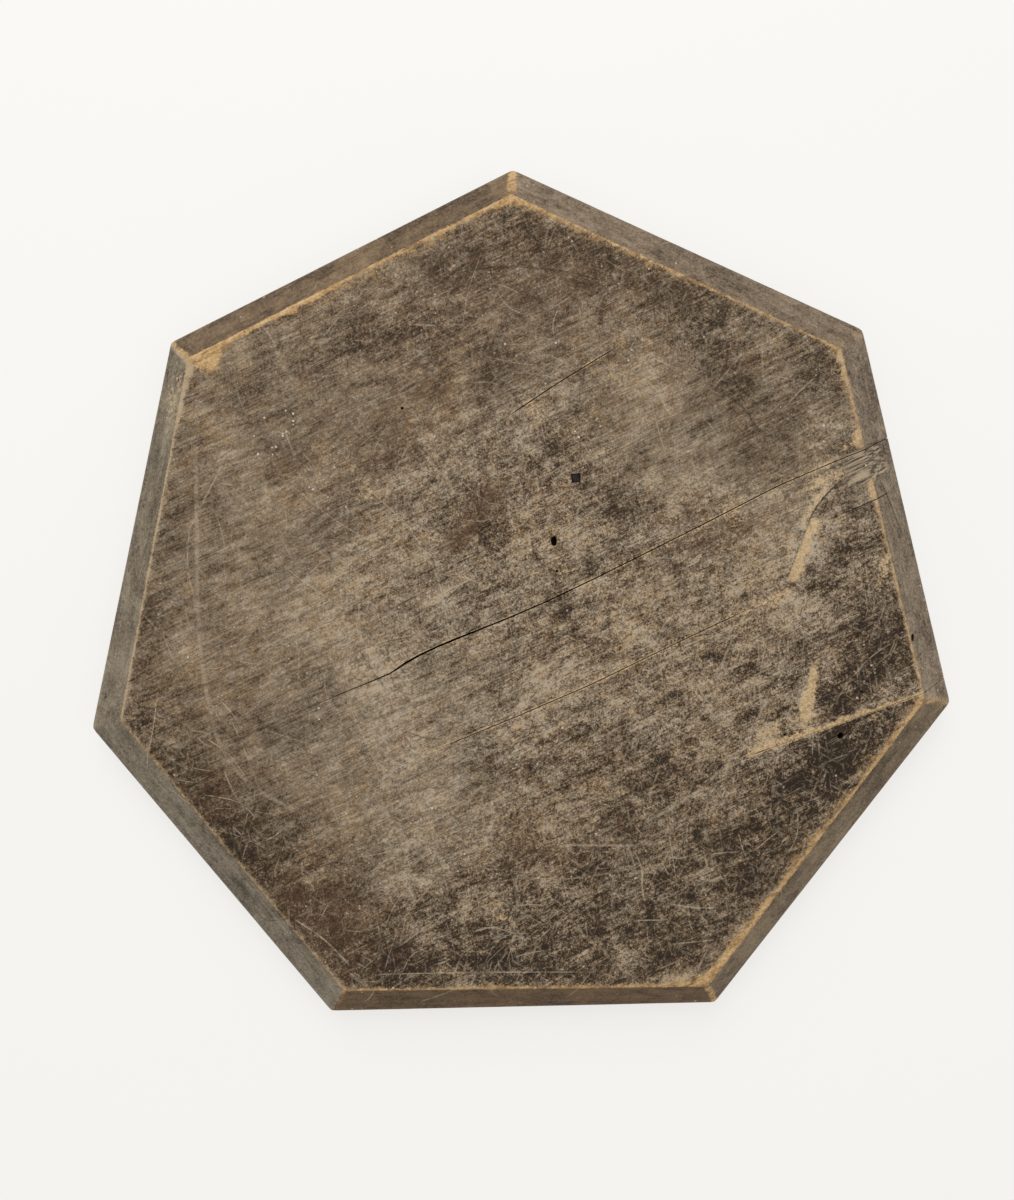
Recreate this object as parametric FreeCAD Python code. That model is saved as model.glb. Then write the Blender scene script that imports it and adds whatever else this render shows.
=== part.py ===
import FreeCAD
import Part
import os
from math import cos, sin, radians, pi

# Seven-sided solid timber game board (crokinole board, played on the flat face).
# Row frame: the board lies flat with its play face up. +Z is up, the corner of the
# outline that the board is set up by points along +Y, and the origin is the centre
# of the bounding box on the plane that the two battens rest on. All sizes in mm.

V = FreeCAD.Vector

# ---- driving sizes: the board ------------------------------------------------
sides = 7
corner_radius = 385.0        # centre to a sharp corner of the outline
board_thick = 36.0
bevel_run = 29.0             # how far each bevel comes in over the board
bevel_drop = 25.0            # how far each bevel falls from the face
corner_round = 10.0          # worn radius of the seven upright corners
grain_angle = 24.0           # direction of the grain from +X

# hand-cut errors of the outline: each corner's shift from the true heptagon,
# as fractions of corner_radius
corner_shift = (
    (0.002, -0.002), (-0.002, 0.009), (0.002, 0.010), (-0.001, 0.004),
    (-0.016, 0.003), (0.000, -0.012), (0.012, 0.006),
)
# each side's bevel is planed a little wider or narrower, as a fraction of bevel_run
bevel_error = (0.03, 0.08, -0.05, -0.05, 0.11, -0.02, -0.06)

# ---- driving sizes: the two joints between the three planks --------------------
joint_gap = 0.2              # dried-out glue line
upper_joint_v = 0.017 * corner_radius    # across-grain position at the middle
lower_joint_v = -0.457 * corner_radius   # the same for the lower joint
lower_joint_lean = -5.5      # the middle plank is tapered by this angle

# ---- driving sizes: dowels across the joints -----------------------------------
dowel_dia = 10.0
dowel_length = 60.0
dowel_clear = 0.1            # radial
dowel_end_gap = 1.0
dowel_share = (-0.62, -0.22, 0.22, 0.62)   # of corner_radius, along each joint

# ---- driving sizes: battens and their screws -------------------------------------
batten_spacing = 0.88 * corner_radius
batten_length = 1.35 * corner_radius
batten_width = 62.0
batten_high = 20.0
batten_end_chamfer = 8.0
screw_share = (-0.45, -0.24, -0.08, 0.09, 0.27, 0.44)   # of batten_length
screw_dia = 4.5
screw_head_dia = 9.0
screw_head_high = 3.4
screw_head_sunk = 0.5
screw_bite = 24.0            # length of screw inside the plank
screw_clear = 0.1            # radial
slot_width = 1.2
slot_deep = 1.4

# ---- driving sizes: the old nail, the empty holes and the worn notch ---------------
nail_xy = (0.127 * corner_radius, 0.306 * corner_radius)
nail_head = 6.5
nail_head_thick = 1.6
nail_shank = 3.4
nail_tip = 1.8
nail_length = 30.0
nail_clear = 0.05
nail_sunk = 0.4
# empty holes in the face: x and y as fractions of corner_radius, diameter, depth
empty_holes = ((0.075, 0.169, 5.0, 16.0), (0.704, -0.273, 4.0, 12.0))
bevel_hole = (0.868, -0.058, 3.0, 12.0)
notch_reach = 36.0           # worn notch where the upper joint meets the right-hand arris
notch_half_width = 13.0
notch_deep = 3.5

# ---- derived -----------------------------------------------------------------------
board_low = batten_high
board_top = board_low + board_thick
bevel_foot = board_top - bevel_drop
board_mid = board_low + board_thick / 2.0
far = corner_radius * 2.0
along = V(cos(radians(grain_angle)), sin(radians(grain_angle)), 0)
across = V(-along.y, along.x, 0)


def true_corner(k):
    """Corner k of the hand-cut outline, clockwise from the one on +Y."""
    a = pi / 2 - 2 * pi * k / sides
    dx, dy = corner_shift[k % len(corner_shift)]
    return V(corner_radius * (cos(a) + dx), corner_radius * (sin(a) + dy), 0)


corners = [true_corner(k) for k in range(sides)]


def grain_point(u, v, z=0.0):
    """Point u along the grain and v across it."""
    p = along * u + across * v
    return V(p.x, p.y, z)


def prism(points, low, high):
    """Upright prism over a polygon of points."""
    pts = [V(p.x, p.y, low) for p in points]
    face = Part.Face(Part.makePolygon(pts + [pts[0]]))
    return face.extrude(V(0, 0, high - low))


def bevel_wedge(k):
    """The waste that is planed off side k of the outline."""
    a = corners[k]
    b = corners[(k + 1) % sides]
    run = bevel_run * (1 + bevel_error[k % len(bevel_error)])
    way = (b - a).normalize()
    out = V(-way.y, way.x, 0)
    if out.dot(a) < 0:
        out = out * -1
    spare = 0.4
    start = a - way * corner_radius
    low = start + out * (run * spare) + V(0, 0, bevel_foot - bevel_drop * spare)
    top_in = start - out * (run * (1 + spare)) + V(0, 0, board_top + bevel_drop * spare)
    top_out = start + out * (run * spare) + V(0, 0, board_top + bevel_drop * spare)
    face = Part.Face(Part.makePolygon([low, top_in, top_out, low]))
    return face.extrude(way * ((b - a).Length + 2 * corner_radius))


def board_blank():
    """The whole heptagonal board before it is divided into planks."""
    blank = prism(corners, board_low, board_top)
    upright = [e for e in blank.Edges if abs(e.tangentAt(e.FirstParameter).z) > 0.9]
    blank = blank.makeFillet(corner_round, upright)
    for k in range(sides):
        blank = blank.cut(bevel_wedge(k))
    return blank


def joint_line(v, lean):
    """Middle point and unit direction of a joint between two planks."""
    turn = radians(lean)
    way = along * cos(turn) + across * sin(turn)
    return grain_point(0, v), way


def side_of_joint(joint, sign, gap):
    """A huge slab on one side of a joint, half the glue gap away from it."""
    mid, way = joint
    normal = V(-way.y, way.x, 0) * sign
    near = mid + normal * (gap / 2)
    pts = [near - way * far, near + way * far, near + way * far + normal * far,
           near - way * far + normal * far]
    return prism(pts, board_low - 1, board_top + 1)


def dowel_solid(joint, share, clear, extra):
    """One dowel lying across a joint at mid thickness."""
    mid, way = joint
    normal = V(-way.y, way.x, 0)
    length = dowel_length + 2 * extra
    p = mid + way * (share * corner_radius) - normal * (length / 2)
    rod = Part.makeCylinder(dowel_dia / 2 + clear, length, V(p.x, p.y, board_mid), normal)
    if extra == 0:
        ends = [e for e in rod.Edges if e.Curve.TypeId == "Part::GeomCircle"]
        rod = rod.makeChamfer(1.0, ends)
    return rod


def batten_solid(side):
    """A batten across the grain with its lower end corners chamfered."""
    u = side * batten_spacing / 2
    half = batten_length / 2
    c = batten_end_chamfer
    edge = batten_width / 2
    profile = [(-half, c), (-half + c, 0), (half - c, 0), (half, c), (half, batten_high),
               (-half, batten_high)]
    pts = [grain_point(u - edge, v, z) for v, z in profile]
    face = Part.Face(Part.makePolygon(pts + [pts[0]]))
    return face.extrude(along * batten_width)


def screw_spot(side, share):
    """Axis point of one screw on the batten's underside."""
    return grain_point(side * batten_spacing / 2, share * batten_length, 0)


def screw_solid(side, share, clear, with_slot):
    """A slotted countersunk wood screw driven upwards, or the hole it sits in."""
    p = screw_spot(side, share)
    low = 0.0 if clear > 0 else screw_head_sunk
    top = batten_high + screw_bite + clear
    r = screw_dia / 2 + clear
    big = screw_head_dia / 2 + clear
    tip = screw_dia * 0.9
    outline = [V(0, 0, low), V(big, 0, low), V(big, 0, screw_head_sunk + 0.4),
               V(r, 0, screw_head_sunk + screw_head_high), V(r, 0, top - tip), V(0, 0, top)]
    face = Part.Face(Part.makePolygon(outline + [outline[0]]))
    body = face.revolve(V(0, 0, 0), V(0, 0, 1), 360)
    body.translate(p)
    if with_slot:
        slot = Part.makeBox(screw_head_dia * 1.4, slot_width, slot_deep,
                            V(-screw_head_dia * 0.7, -slot_width / 2, low))
        slot.rotate(V(0, 0, 0), V(0, 0, 1), grain_angle + 137 * share * side)
        slot.translate(p)
        body = body.cut(slot)
    return body


def square(half, z):
    """A square wire about the nail's axis."""
    x, y = nail_xy
    pts = [V(x - half, y - half, z), V(x + half, y - half, z), V(x + half, y + half, z),
           V(x - half, y + half, z)]
    return Part.makePolygon(pts + [pts[0]])


def nail_solid(clear):
    """A square cut nail sunk in the face, or the hole it fills."""
    top = board_top if clear > 0 else board_top - nail_sunk
    under_head = board_top - nail_sunk - nail_head_thick - clear
    low = board_top - nail_sunk - nail_length - clear
    head = Part.Face(square(nail_head / 2 + clear, under_head))
    head = head.extrude(V(0, 0, top - under_head))
    shank = Part.makeLoft([square(nail_shank / 2 + clear, under_head),
                           square(nail_tip / 2 + clear, low)], True)
    return head.fuse(shank).removeSplitter()


def notch_solid():
    """Wedge of wood worn away where the upper joint runs out over the arris."""
    end_u = (corners[1] + (corners[2] - corners[1]) * 0.31).dot(along)
    begin = end_u - bevel_run * 1.25 - notch_reach
    pts = [grain_point(begin, upper_joint_v - notch_half_width, board_top + 1),
           grain_point(begin, upper_joint_v - notch_half_width, board_top),
           grain_point(end_u, upper_joint_v - notch_half_width, board_top - notch_deep * 2),
           grain_point(end_u, upper_joint_v - notch_half_width, board_top + 1)]
    face = Part.Face(Part.makePolygon(pts + [pts[0]]))
    return face.extrude(across * (notch_half_width * 2))


# ---- build ---------------------------------------------------------------------------
upper_joint = joint_line(upper_joint_v, 0.0)
lower_joint = joint_line(lower_joint_v, lower_joint_lean)
blank = board_blank()

planks = {
    "plank_upper": blank.common(side_of_joint(upper_joint, 1, joint_gap)),
    "plank_middle": blank.common(side_of_joint(upper_joint, -1, joint_gap)).common(
        side_of_joint(lower_joint, 1, joint_gap)),
    "plank_lower": blank.common(side_of_joint(lower_joint, -1, joint_gap)),
}

upper_dowels = [dowel_solid(upper_joint, s, 0, 0) for s in dowel_share]
lower_dowels = [dowel_solid(lower_joint, s, 0, 0) for s in dowel_share]
dowel_holes = [dowel_solid(upper_joint, s, dowel_clear, dowel_end_gap) for s in dowel_share]
dowel_holes += [dowel_solid(lower_joint, s, dowel_clear, dowel_end_gap) for s in dowel_share]

screws = {}
screw_holes = {}
for name, side in (("left", -1), ("right", 1)):
    screws[name] = [screw_solid(side, s, 0, True) for s in screw_share]
    screw_holes[name] = [screw_solid(side, s, screw_clear, False) for s in screw_share]

face_holes = [nail_solid(nail_clear), notch_solid()]
for x, y, dia, deep in empty_holes:
    foot = V(x * corner_radius, y * corner_radius, board_top - deep)
    face_holes.append(Part.makeCylinder(dia / 2, deep + 1, foot))
x, y, dia, deep = bevel_hole
foot = V(x * corner_radius, y * corner_radius, board_top - bevel_drop / 2 - deep)
face_holes.append(Part.makeCylinder(dia / 2, deep + bevel_drop, foot))

nodes = {}
for name, plank in planks.items():
    for waste in dowel_holes + screw_holes["left"] + screw_holes["right"] + face_holes:
        plank = plank.cut(waste)
    nodes[name] = plank.removeSplitter()

for name, side in (("left", -1), ("right", 1)):
    batten = batten_solid(side)
    for waste in screw_holes[name]:
        batten = batten.cut(waste)
    nodes["batten_" + name] = batten
    nodes["screws_" + name] = Part.makeCompound(screws[name])

nodes["dowels_upper_joint"] = Part.makeCompound(upper_dowels)
nodes["dowels_lower_joint"] = Part.makeCompound(lower_dowels)
nodes["old_nail"] = nail_solid(0)

# centre the outline's bounding box on the origin
box = blank.BoundBox
shift = V(-(box.XMin + box.XMax) / 2, -(box.YMin + box.YMax) / 2, 0)
os.makedirs("parts", exist_ok=True)
for name, shape in nodes.items():
    placed = shape.copy()
    placed.translate(shift)
    placed.exportStep("parts/" + name + ".step")
    print(name, len(placed.Solids), round(placed.Volume / 1000.0, 1), placed.isValid())
print("shift", shift)
print("board box", round(box.XLength, 2), round(box.YLength, 2))
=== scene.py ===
"""A seven-sided, much used timber game board: three edge-joined planks with planed bevels, battens behind.

Everything is in metres in the row frame. Places on the board are given from the middle of its heptagon,
which lies at MIDDLE in the row frame, with the grain running at GRAIN_ANGLE from +X.
"""

import logging
from dataclasses import dataclass
from enum import Enum
from math import cos, pi, radians, sin

import bmesh
import bpy
import numpy as np
from mathutils import Matrix, Vector


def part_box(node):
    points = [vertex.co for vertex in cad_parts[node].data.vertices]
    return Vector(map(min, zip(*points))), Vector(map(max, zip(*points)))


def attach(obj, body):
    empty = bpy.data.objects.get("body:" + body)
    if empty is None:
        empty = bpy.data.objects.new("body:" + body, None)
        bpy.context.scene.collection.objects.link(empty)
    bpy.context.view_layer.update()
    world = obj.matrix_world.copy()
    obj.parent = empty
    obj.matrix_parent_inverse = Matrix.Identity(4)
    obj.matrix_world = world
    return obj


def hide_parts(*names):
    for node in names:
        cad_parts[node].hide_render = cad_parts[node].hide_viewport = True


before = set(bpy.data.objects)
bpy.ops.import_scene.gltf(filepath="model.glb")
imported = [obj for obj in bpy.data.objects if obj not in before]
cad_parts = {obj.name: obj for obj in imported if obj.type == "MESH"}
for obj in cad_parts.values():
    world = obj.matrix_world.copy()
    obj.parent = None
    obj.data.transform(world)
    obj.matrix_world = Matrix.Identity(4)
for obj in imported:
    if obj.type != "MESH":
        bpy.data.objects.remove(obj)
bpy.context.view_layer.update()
LOG = logging.getLogger("board")

MM = 0.001
MIDDLE = (-0.00039, -0.01873)
GRAIN_ANGLE = radians(24.0)
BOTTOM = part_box("plank_upper")[0].z
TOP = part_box("plank_upper")[1].z


# ---------------------------------------------------------------- small tools


class Field:
    """Smooth, repeatable random values over the plane, from -1 to 1."""

    def __init__(self, seed: int, cell: float, octaves: int = 3, gain: float = 0.5) -> None:
        """Args: seed, cell is the largest feature in metres, octaves and gain as in fractal noise."""
        self.cell, self.octaves, self.gain = cell, octaves, gain
        self.table = np.random.default_rng(seed).random((octaves, 256, 256)) * 2 - 1

    def __call__(self, x: np.ndarray, y: np.ndarray) -> np.ndarray:
        """Returns the values at points x, y."""
        total, weight, size = np.zeros_like(x), 0.0, 1.0
        for k in range(self.octaves):
            a, b = x / self.cell / 0.5**k + 97.3 * k, y / self.cell / 0.5**k + 31.7 * k
            i, j = np.floor(a).astype(int), np.floor(b).astype(int)
            f, g = a - i, b - j
            f, g = f * f * (3 - 2 * f), g * g * (3 - 2 * g)
            t = self.table[k]
            p, q = t[i % 256, j % 256], t[(i + 1) % 256, j % 256]
            r, s = t[i % 256, (j + 1) % 256], t[(i + 1) % 256, (j + 1) % 256]
            total += size * ((p * (1 - f) + q * f) * (1 - g) + (r * (1 - f) + s * f) * g)
            weight += size
            size *= self.gain
        return total / weight


def fade(value: np.ndarray, low: float, high: float) -> np.ndarray:
    """Smooth step from 0 at low to 1 at high; high may be the lower one.

    Args:
        value: What is stepped.
        low: Value where the step begins.
        high: Value where the step ends.

    Returns:
        The steps, from 0 to 1.
    """
    t = np.clip((value - low) / (high - low), 0, 1)
    return t * t * (3 - 2 * t)


def to_grain(x: np.ndarray, y: np.ndarray) -> tuple:
    """Board x, y as distances along and across the grain.

    Args:
        x: Places across the board.
        y: Places up the board.

    Returns:
        Distances along and across the grain.
    """
    c, s = cos(GRAIN_ANGLE), sin(GRAIN_ANGLE)
    return x * c + y * s, -x * s + y * c


def from_grain(u: np.ndarray, v: np.ndarray) -> tuple:
    """Distances along and across the grain as board x, y.

    Args:
        u: Places along the grain.
        v: Places across the grain.

    Returns:
        Places x and y.
    """
    c, s = cos(GRAIN_ANGLE), sin(GRAIN_ANGLE)
    return u * c - v * s, u * s + v * c


def read_points(mesh: bpy.types.Mesh) -> np.ndarray:
    """The mesh's vertices as an array of rows.

    Args:
        mesh: The mesh to read or change.

    Returns:
        One row of x, y and z a vertex.
    """
    co = np.zeros(len(mesh.vertices) * 3)
    mesh.vertices.foreach_get("co", co)
    return co.reshape(-1, 3)


def write_points(mesh: bpy.types.Mesh, co: np.ndarray) -> None:
    """Moves the mesh's vertices to the rows of an array.

    Args:
        mesh: The mesh to read or change.
        co: One row of x, y and z a vertex.
    """
    mesh.vertices.foreach_set("co", co.reshape(-1))
    mesh.update()


def alone(obj: bpy.types.Object) -> None:
    """Makes obj the only selected and the active object.

    Args:
        obj: The piece.
    """
    bpy.ops.object.select_all(action="DESELECT")
    obj.select_set(True)
    bpy.context.view_layer.objects.active = obj


def settle(obj: bpy.types.Object) -> None:
    """Puts obj's place into its mesh.

    Args:
        obj: The piece.
    """
    obj.data.transform(obj.matrix_world)
    obj.matrix_world = Matrix.Identity(4)


def apply_modifier(obj: bpy.types.Object, kind: str, **settings: object) -> None:
    """Adds one modifier to obj with those settings and applies it.

    Args:
        obj: The piece.
        kind: Blender's name for the modifier.
    """
    alone(obj)
    modifier = obj.modifiers.new(kind.title(), kind)
    for name, value in settings.items():
        setattr(modifier, name, value)
    bpy.ops.object.modifier_apply(modifier=modifier.name)


# ---------------------------------------------------------------- the shape of the board


@dataclass(frozen=True)
class Outline:
    """The hand-cut heptagon: its corners, bevels and the wear that rounds them."""

    reach: float = 0.385
    corner_shifts: tuple = ((0.6, -0.9), (-0.6, 3.3), (0.8, 3.8), (-0.4, 1.4), (-6.3, 1.0), (-0.1, -4.5),
                            (4.7, 2.4))
    face_reach: float = 0.3526
    face_shifts: tuple = ((-1.2, 0.8), (-3.2, 2.3), (-0.6, 3.3), (2.0, -1.7), (-4.3, 0.8), (2.9, -1.2),
                          (1.2, 2.3))
    drop: float = 0.025
    run: float = 0.029
    corner_round: float = 0.0105

    def _ring(self, reach: float, shifts: tuple) -> np.ndarray:
        """Corners of a heptagon of that reach, clockwise from +Y, each shifted by millimetres."""
        a = pi / 2 - 2 * pi * np.arange(7) / 7
        return np.stack([np.cos(a), np.sin(a)], 1) * reach + np.array(shifts) * MM

    def corners(self) -> np.ndarray:
        """The outline's seven corners."""
        return self._ring(self.reach, self.corner_shifts)

    def face_corners(self) -> np.ndarray:
        """The seven corners of the flat face."""
        return self._ring(self.face_reach, self.face_shifts)

    @staticmethod
    def lines(corners: np.ndarray) -> tuple:
        """Unit outward normals and offsets of the seven sides.

        Args:
            corners: The outline's corners.

        Returns:
            The normals and the offsets.
        """
        way = np.roll(corners, -1, 0) - corners
        way /= np.linalg.norm(way, axis=1)[:, None]
        normal = np.stack([-way[:, 1], way[:, 0]], 1)
        return normal, (normal * corners).sum(1)

    def out_of_face(self, x: np.ndarray, y: np.ndarray) -> np.ndarray:
        """Distance outside each side of the face, one column a side.

        Args:
            x: Places across the board.
            y: Places up the board.
        """
        n, d = self.lines(self.face_corners())
        return x[:, None] * n[:, 0] + y[:, None] * n[:, 1] - d

    def inside(self, x: np.ndarray, y: np.ndarray) -> np.ndarray:
        """Distance inside each side of the outline, one column a side.

        Args:
            x: Places across the board.
            y: Places up the board.
        """
        n, d = self.lines(self.corners())
        return d - x[:, None] * n[:, 0] - y[:, None] * n[:, 1]

    def fall(self, x: np.ndarray, y: np.ndarray) -> np.ndarray:
        """How far down each bevel a point is: 0 on the arris, 1 at its foot, below 0 on the face.

        Args:
            x: Places across the board.
            y: Places up the board.
        """
        out = self.out_of_face(x, y)
        return out / np.maximum(out + self.inside(x, y), 1e-6)

    def along(self, x: np.ndarray, y: np.ndarray, side: int) -> np.ndarray:
        """Share of the way along a side, clockwise.

        Args:
            x: Places across the board.
            y: Places up the board.
            side: Number of the side, clockwise.
        """
        c = self.face_corners()
        a, way = c[side], c[(side + 1) % 7] - c[side]
        return ((x - a[0]) * way[0] + (y - a[1]) * way[1]) / (way @ way)

    def round_corners(self, x: np.ndarray, y: np.ndarray) -> tuple:
        """Draws the outline's sharp corners in to their worn radius. Returns the new x and y.

        Args:
            x: Places across the board.
            y: Places up the board.
        """
        corners, (normal, offset) = self.corners(), self.lines(self.corners())
        for k in range(7):
            j = (k - 1) % 7
            centre = np.linalg.solve(normal[[j, k]], offset[[j, k]] - self.corner_round)
            dx, dy = x - centre[0], y - centre[1]
            reach = np.hypot(dx, dy) + 1e-9
            # distance to the straight sides in this direction
            cj = (dx * normal[j, 0] + dy * normal[j, 1]) / reach
            ck = (dx * normal[k, 0] + dy * normal[k, 1]) / reach
            limit = self.corner_round / np.maximum(np.maximum(cj, ck), 1e-6)
            turn = np.arctan2(*(corners[k] - centre)[::-1])
            off = np.abs((np.arctan2(dy, dx) - turn + pi) % (2 * pi) - pi)
            near = (off < pi / 7) & (reach < limit * 1.05)
            scale = 1 + (self.corner_round / limit - 1) * fade(reach / limit, 0.3, 1.0)
            x = np.where(near, centre[0] + dx * scale, x)
            y = np.where(near, centre[1] + dy * scale, y)
        return x, y


@dataclass(frozen=True)
class ArrisWear:
    """Bare wood along one arris: places as (share of the side, width in mm, strength), and how golden it is."""

    side: int
    face: tuple
    bevel: tuple
    warmth: float = 1.0


@dataclass(frozen=True)
class Stroke:
    """A scratch, scribed arc or thin stain through points on the board."""

    points: tuple
    width: float
    strength: float
    layer: int = 0


@dataclass(frozen=True)
class Patch:
    """A soft-edged area of the face: place, radii, turn in degrees and strength."""

    x: float
    y: float
    rx: float
    ry: float
    turn: float
    strength: float

    def at(self, x: np.ndarray, y: np.ndarray) -> np.ndarray:
        """The patch's weight at points.

        Args:
            x: Places across the board.
            y: Places up the board.
        """
        c, s = cos(radians(self.turn)), sin(radians(self.turn))
        dx, dy = x - self.x, y - self.y
        a, b = (dx * c + dy * s) / self.rx, (-dx * s + dy * c) / self.ry
        return self.strength * np.exp(-0.5 * (a * a + b * b) ** 1.2)


@dataclass(frozen=True)
class Split:
    """A drying split or open joint along the grain: (along, across) points, and (along, width, depth) rows."""

    path: tuple
    opening: tuple

    def across(self, u: np.ndarray) -> np.ndarray:
        """The split's position across the grain.

        Args:
            u: Places along the grain.
        """
        rows = np.array(self.path)
        return np.interp(u, rows[:, 0], rows[:, 1])

    def width(self, u: np.ndarray) -> np.ndarray:
        """Half the split's width.

        Args:
            u: Places along the grain.
        """
        rows = np.array(self.opening)
        return np.interp(u, rows[:, 0], rows[:, 1], left=0, right=0) / 2

    def depth(self, u: np.ndarray) -> np.ndarray:
        """The split's depth.

        Args:
            u: Places along the grain.
        """
        rows = np.array(self.opening)
        return np.interp(u, rows[:, 0], rows[:, 2], left=0, right=0)

    def shadow(self, width: float) -> Stroke:
        """A dark line along the open part of the split: painted shade in its gap, with the dirt packed there.

        Args:
            width: Half the line's width, in metres.
        """
        open_part = [row[0] for row in self.opening if row[1] > 0.0003 and abs(row[0]) < 0.35]
        u = np.linspace(min(open_part), min(max(open_part) + 0.02, 0.335), 14)
        return Stroke(tuple(zip(*from_grain(u, self.across(u)))), width, 0.95, 7)


OUTLINE = Outline()

UPPER_JOINT = Split(
    ((-0.42, 0.0065), (-0.2166, 0.0084), (-0.161, 0.0068), (-0.134, 0.0053), (-0.119, 0.0049),
     (-0.104, 0.0076),
     (-0.090, 0.0083), (-0.074, 0.0084), (-0.057, 0.0077), (-0.011, 0.0051), (0.0255, 0.0039),
     (0.072, 0.0044),
     (0.104, 0.0052), (0.170, 0.0070), (0.246, 0.0098), (0.295, 0.0081), (0.325, 0.0063), (0.42, 0.0060)),
    ((-0.42, 0.00012, 0.001), (-0.20, 0.0002, 0.002), (-0.150, 0.0008, 0.006), (-0.119, 0.0012, 0.008),
     (-0.100, 0.0017, 0.010), (-0.060, 0.0018, 0.010), (-0.011, 0.0013, 0.010), (0.026, 0.0013, 0.008),
     (0.072, 0.0011, 0.007), (0.17, 0.0010, 0.006), (0.25, 0.0009, 0.006), (0.42, 0.0006, 0.004)))

LOWER_JOINT = Split(
    ((-0.42, -0.1358), (0.10, -0.1855), (0.128, -0.1885), (0.20, -0.1955), (0.285, -0.2030), (0.42, -0.2160)),
    ((-0.42, 0.00012, 0.001), (0.08, 0.00015, 0.001), (0.128, 0.0004, 0.003), (0.42, 0.0006, 0.004)))

MIDDLE_SPLITS = (
    Split(((-0.42, -0.0690), (-0.113, -0.0703), (-0.04, -0.0738), (0.03, -0.0759), (0.12, -0.0745),
           (0.42, -0.0740)),
          ((-0.117, 0.0, 0.0), (-0.10, 0.0006, 0.0015), (0.03, 0.0007, 0.0015), (0.15, 0.0005, 0.001),
           (0.215, 0.0, 0.0))),
    Split(((-0.42, -0.0330), (0.279, -0.0347), (0.42, -0.0381)),
          ((0.270, 0.0, 0.0), (0.29, 0.0004, 0.0015), (0.32, 0.0004, 0.0015), (0.335, 0.0, 0.0))),
)
UPPER_SPLITS = (
    Split(((-0.42, 0.150), (0.049, 0.1568), (0.11, 0.1660), (0.172, 0.1729), (0.42, 0.180)),
          ((0.045, 0.0, 0.0), (0.07, 0.0009, 0.0018), (0.15, 0.0009, 0.0018), (0.178, 0.0, 0.0))),
)

WEAR = (
    ArrisWear(0, ((0.0, 8.0, 1.0), (0.04, 3.6, 0.9), (0.2, 2.0, 0.62), (0.45, 2.6, 0.55), (0.7, 1.6, 0.45),
                  (0.94, 1.5, 0.55), (1.0, 3.0, 0.8)),
              ((0.0, 0.8, 0.7), (0.15, 0.4, 0.40), (1.0, 0.4, 0.35))),
    ArrisWear(1, ((0.0, 3.0, 1.0), (0.08, 3.5, 0.9), (0.12, 1.2, 1.0), (0.23, 1.0, 1.0), (0.27, 7.0, 0.8),
                  (0.40, 5.0, 0.8), (0.46, 1.0, 1.0), (0.60, 1.2, 0.8), (0.97, 1.2, 0.8), (1.0, 6.0, 1.0)),
              ((0.0, 0.5, 0.6), (1.0, 0.3, 0.4)), 0.65),
    ArrisWear(2, ((0.0, 9.0, 1.0), (0.04, 5.0, 0.9), (0.10, 3.0, 0.7), (0.45, 3.5, 0.6), (0.75, 4.0, 0.9),
                  (0.94, 6.0, 1.0), (1.0, 14.0, 1.0)),
              ((0.0, 0.6, 0.6), (1.0, 0.5, 0.7))),
    ArrisWear(3, ((0.0, 12.0, 1.0), (0.05, 6.0, 0.95), (0.10, 3.0, 0.8), (0.3, 2.0, 0.6), (1.0, 2.0, 0.55)),
              ((0.0, 0.6, 0.5), (1.0, 0.4, 0.3))),
    ArrisWear(4, ((0.0, 2.0, 0.5), (0.25, 1.2, 0.28), (1.0, 1.2, 0.28)), ((0.0, 0.6, 0.4), (1.0, 0.4, 0.3)),
              0.6),
    ArrisWear(5, ((0.0, 1.2, 0.8), (0.5, 0.9, 0.9), (0.8, 1.4, 0.8), (1.0, 6.0, 0.9)),
              ((0.0, 0.4, 0.4), (1.0, 0.4, 0.5)), 0.25),
    ArrisWear(6, ((0.0, 22.0, 1.0), (0.06, 17.0, 1.0), (0.10, 8.5, 1.0), (0.14, 4.5, 1.0), (0.22, 2.6, 0.8),
                  (0.30, 4.2, 1.0), (0.42, 3.6, 0.95), (0.5, 1.6, 0.55),
                  (0.75, 1.8, 0.6), (0.92, 2.4, 0.8), (1.0, 8.0, 1.0)),
              ((0.0, 1.2, 1.0), (1.0, 0.8, 0.8))),
)

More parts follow.
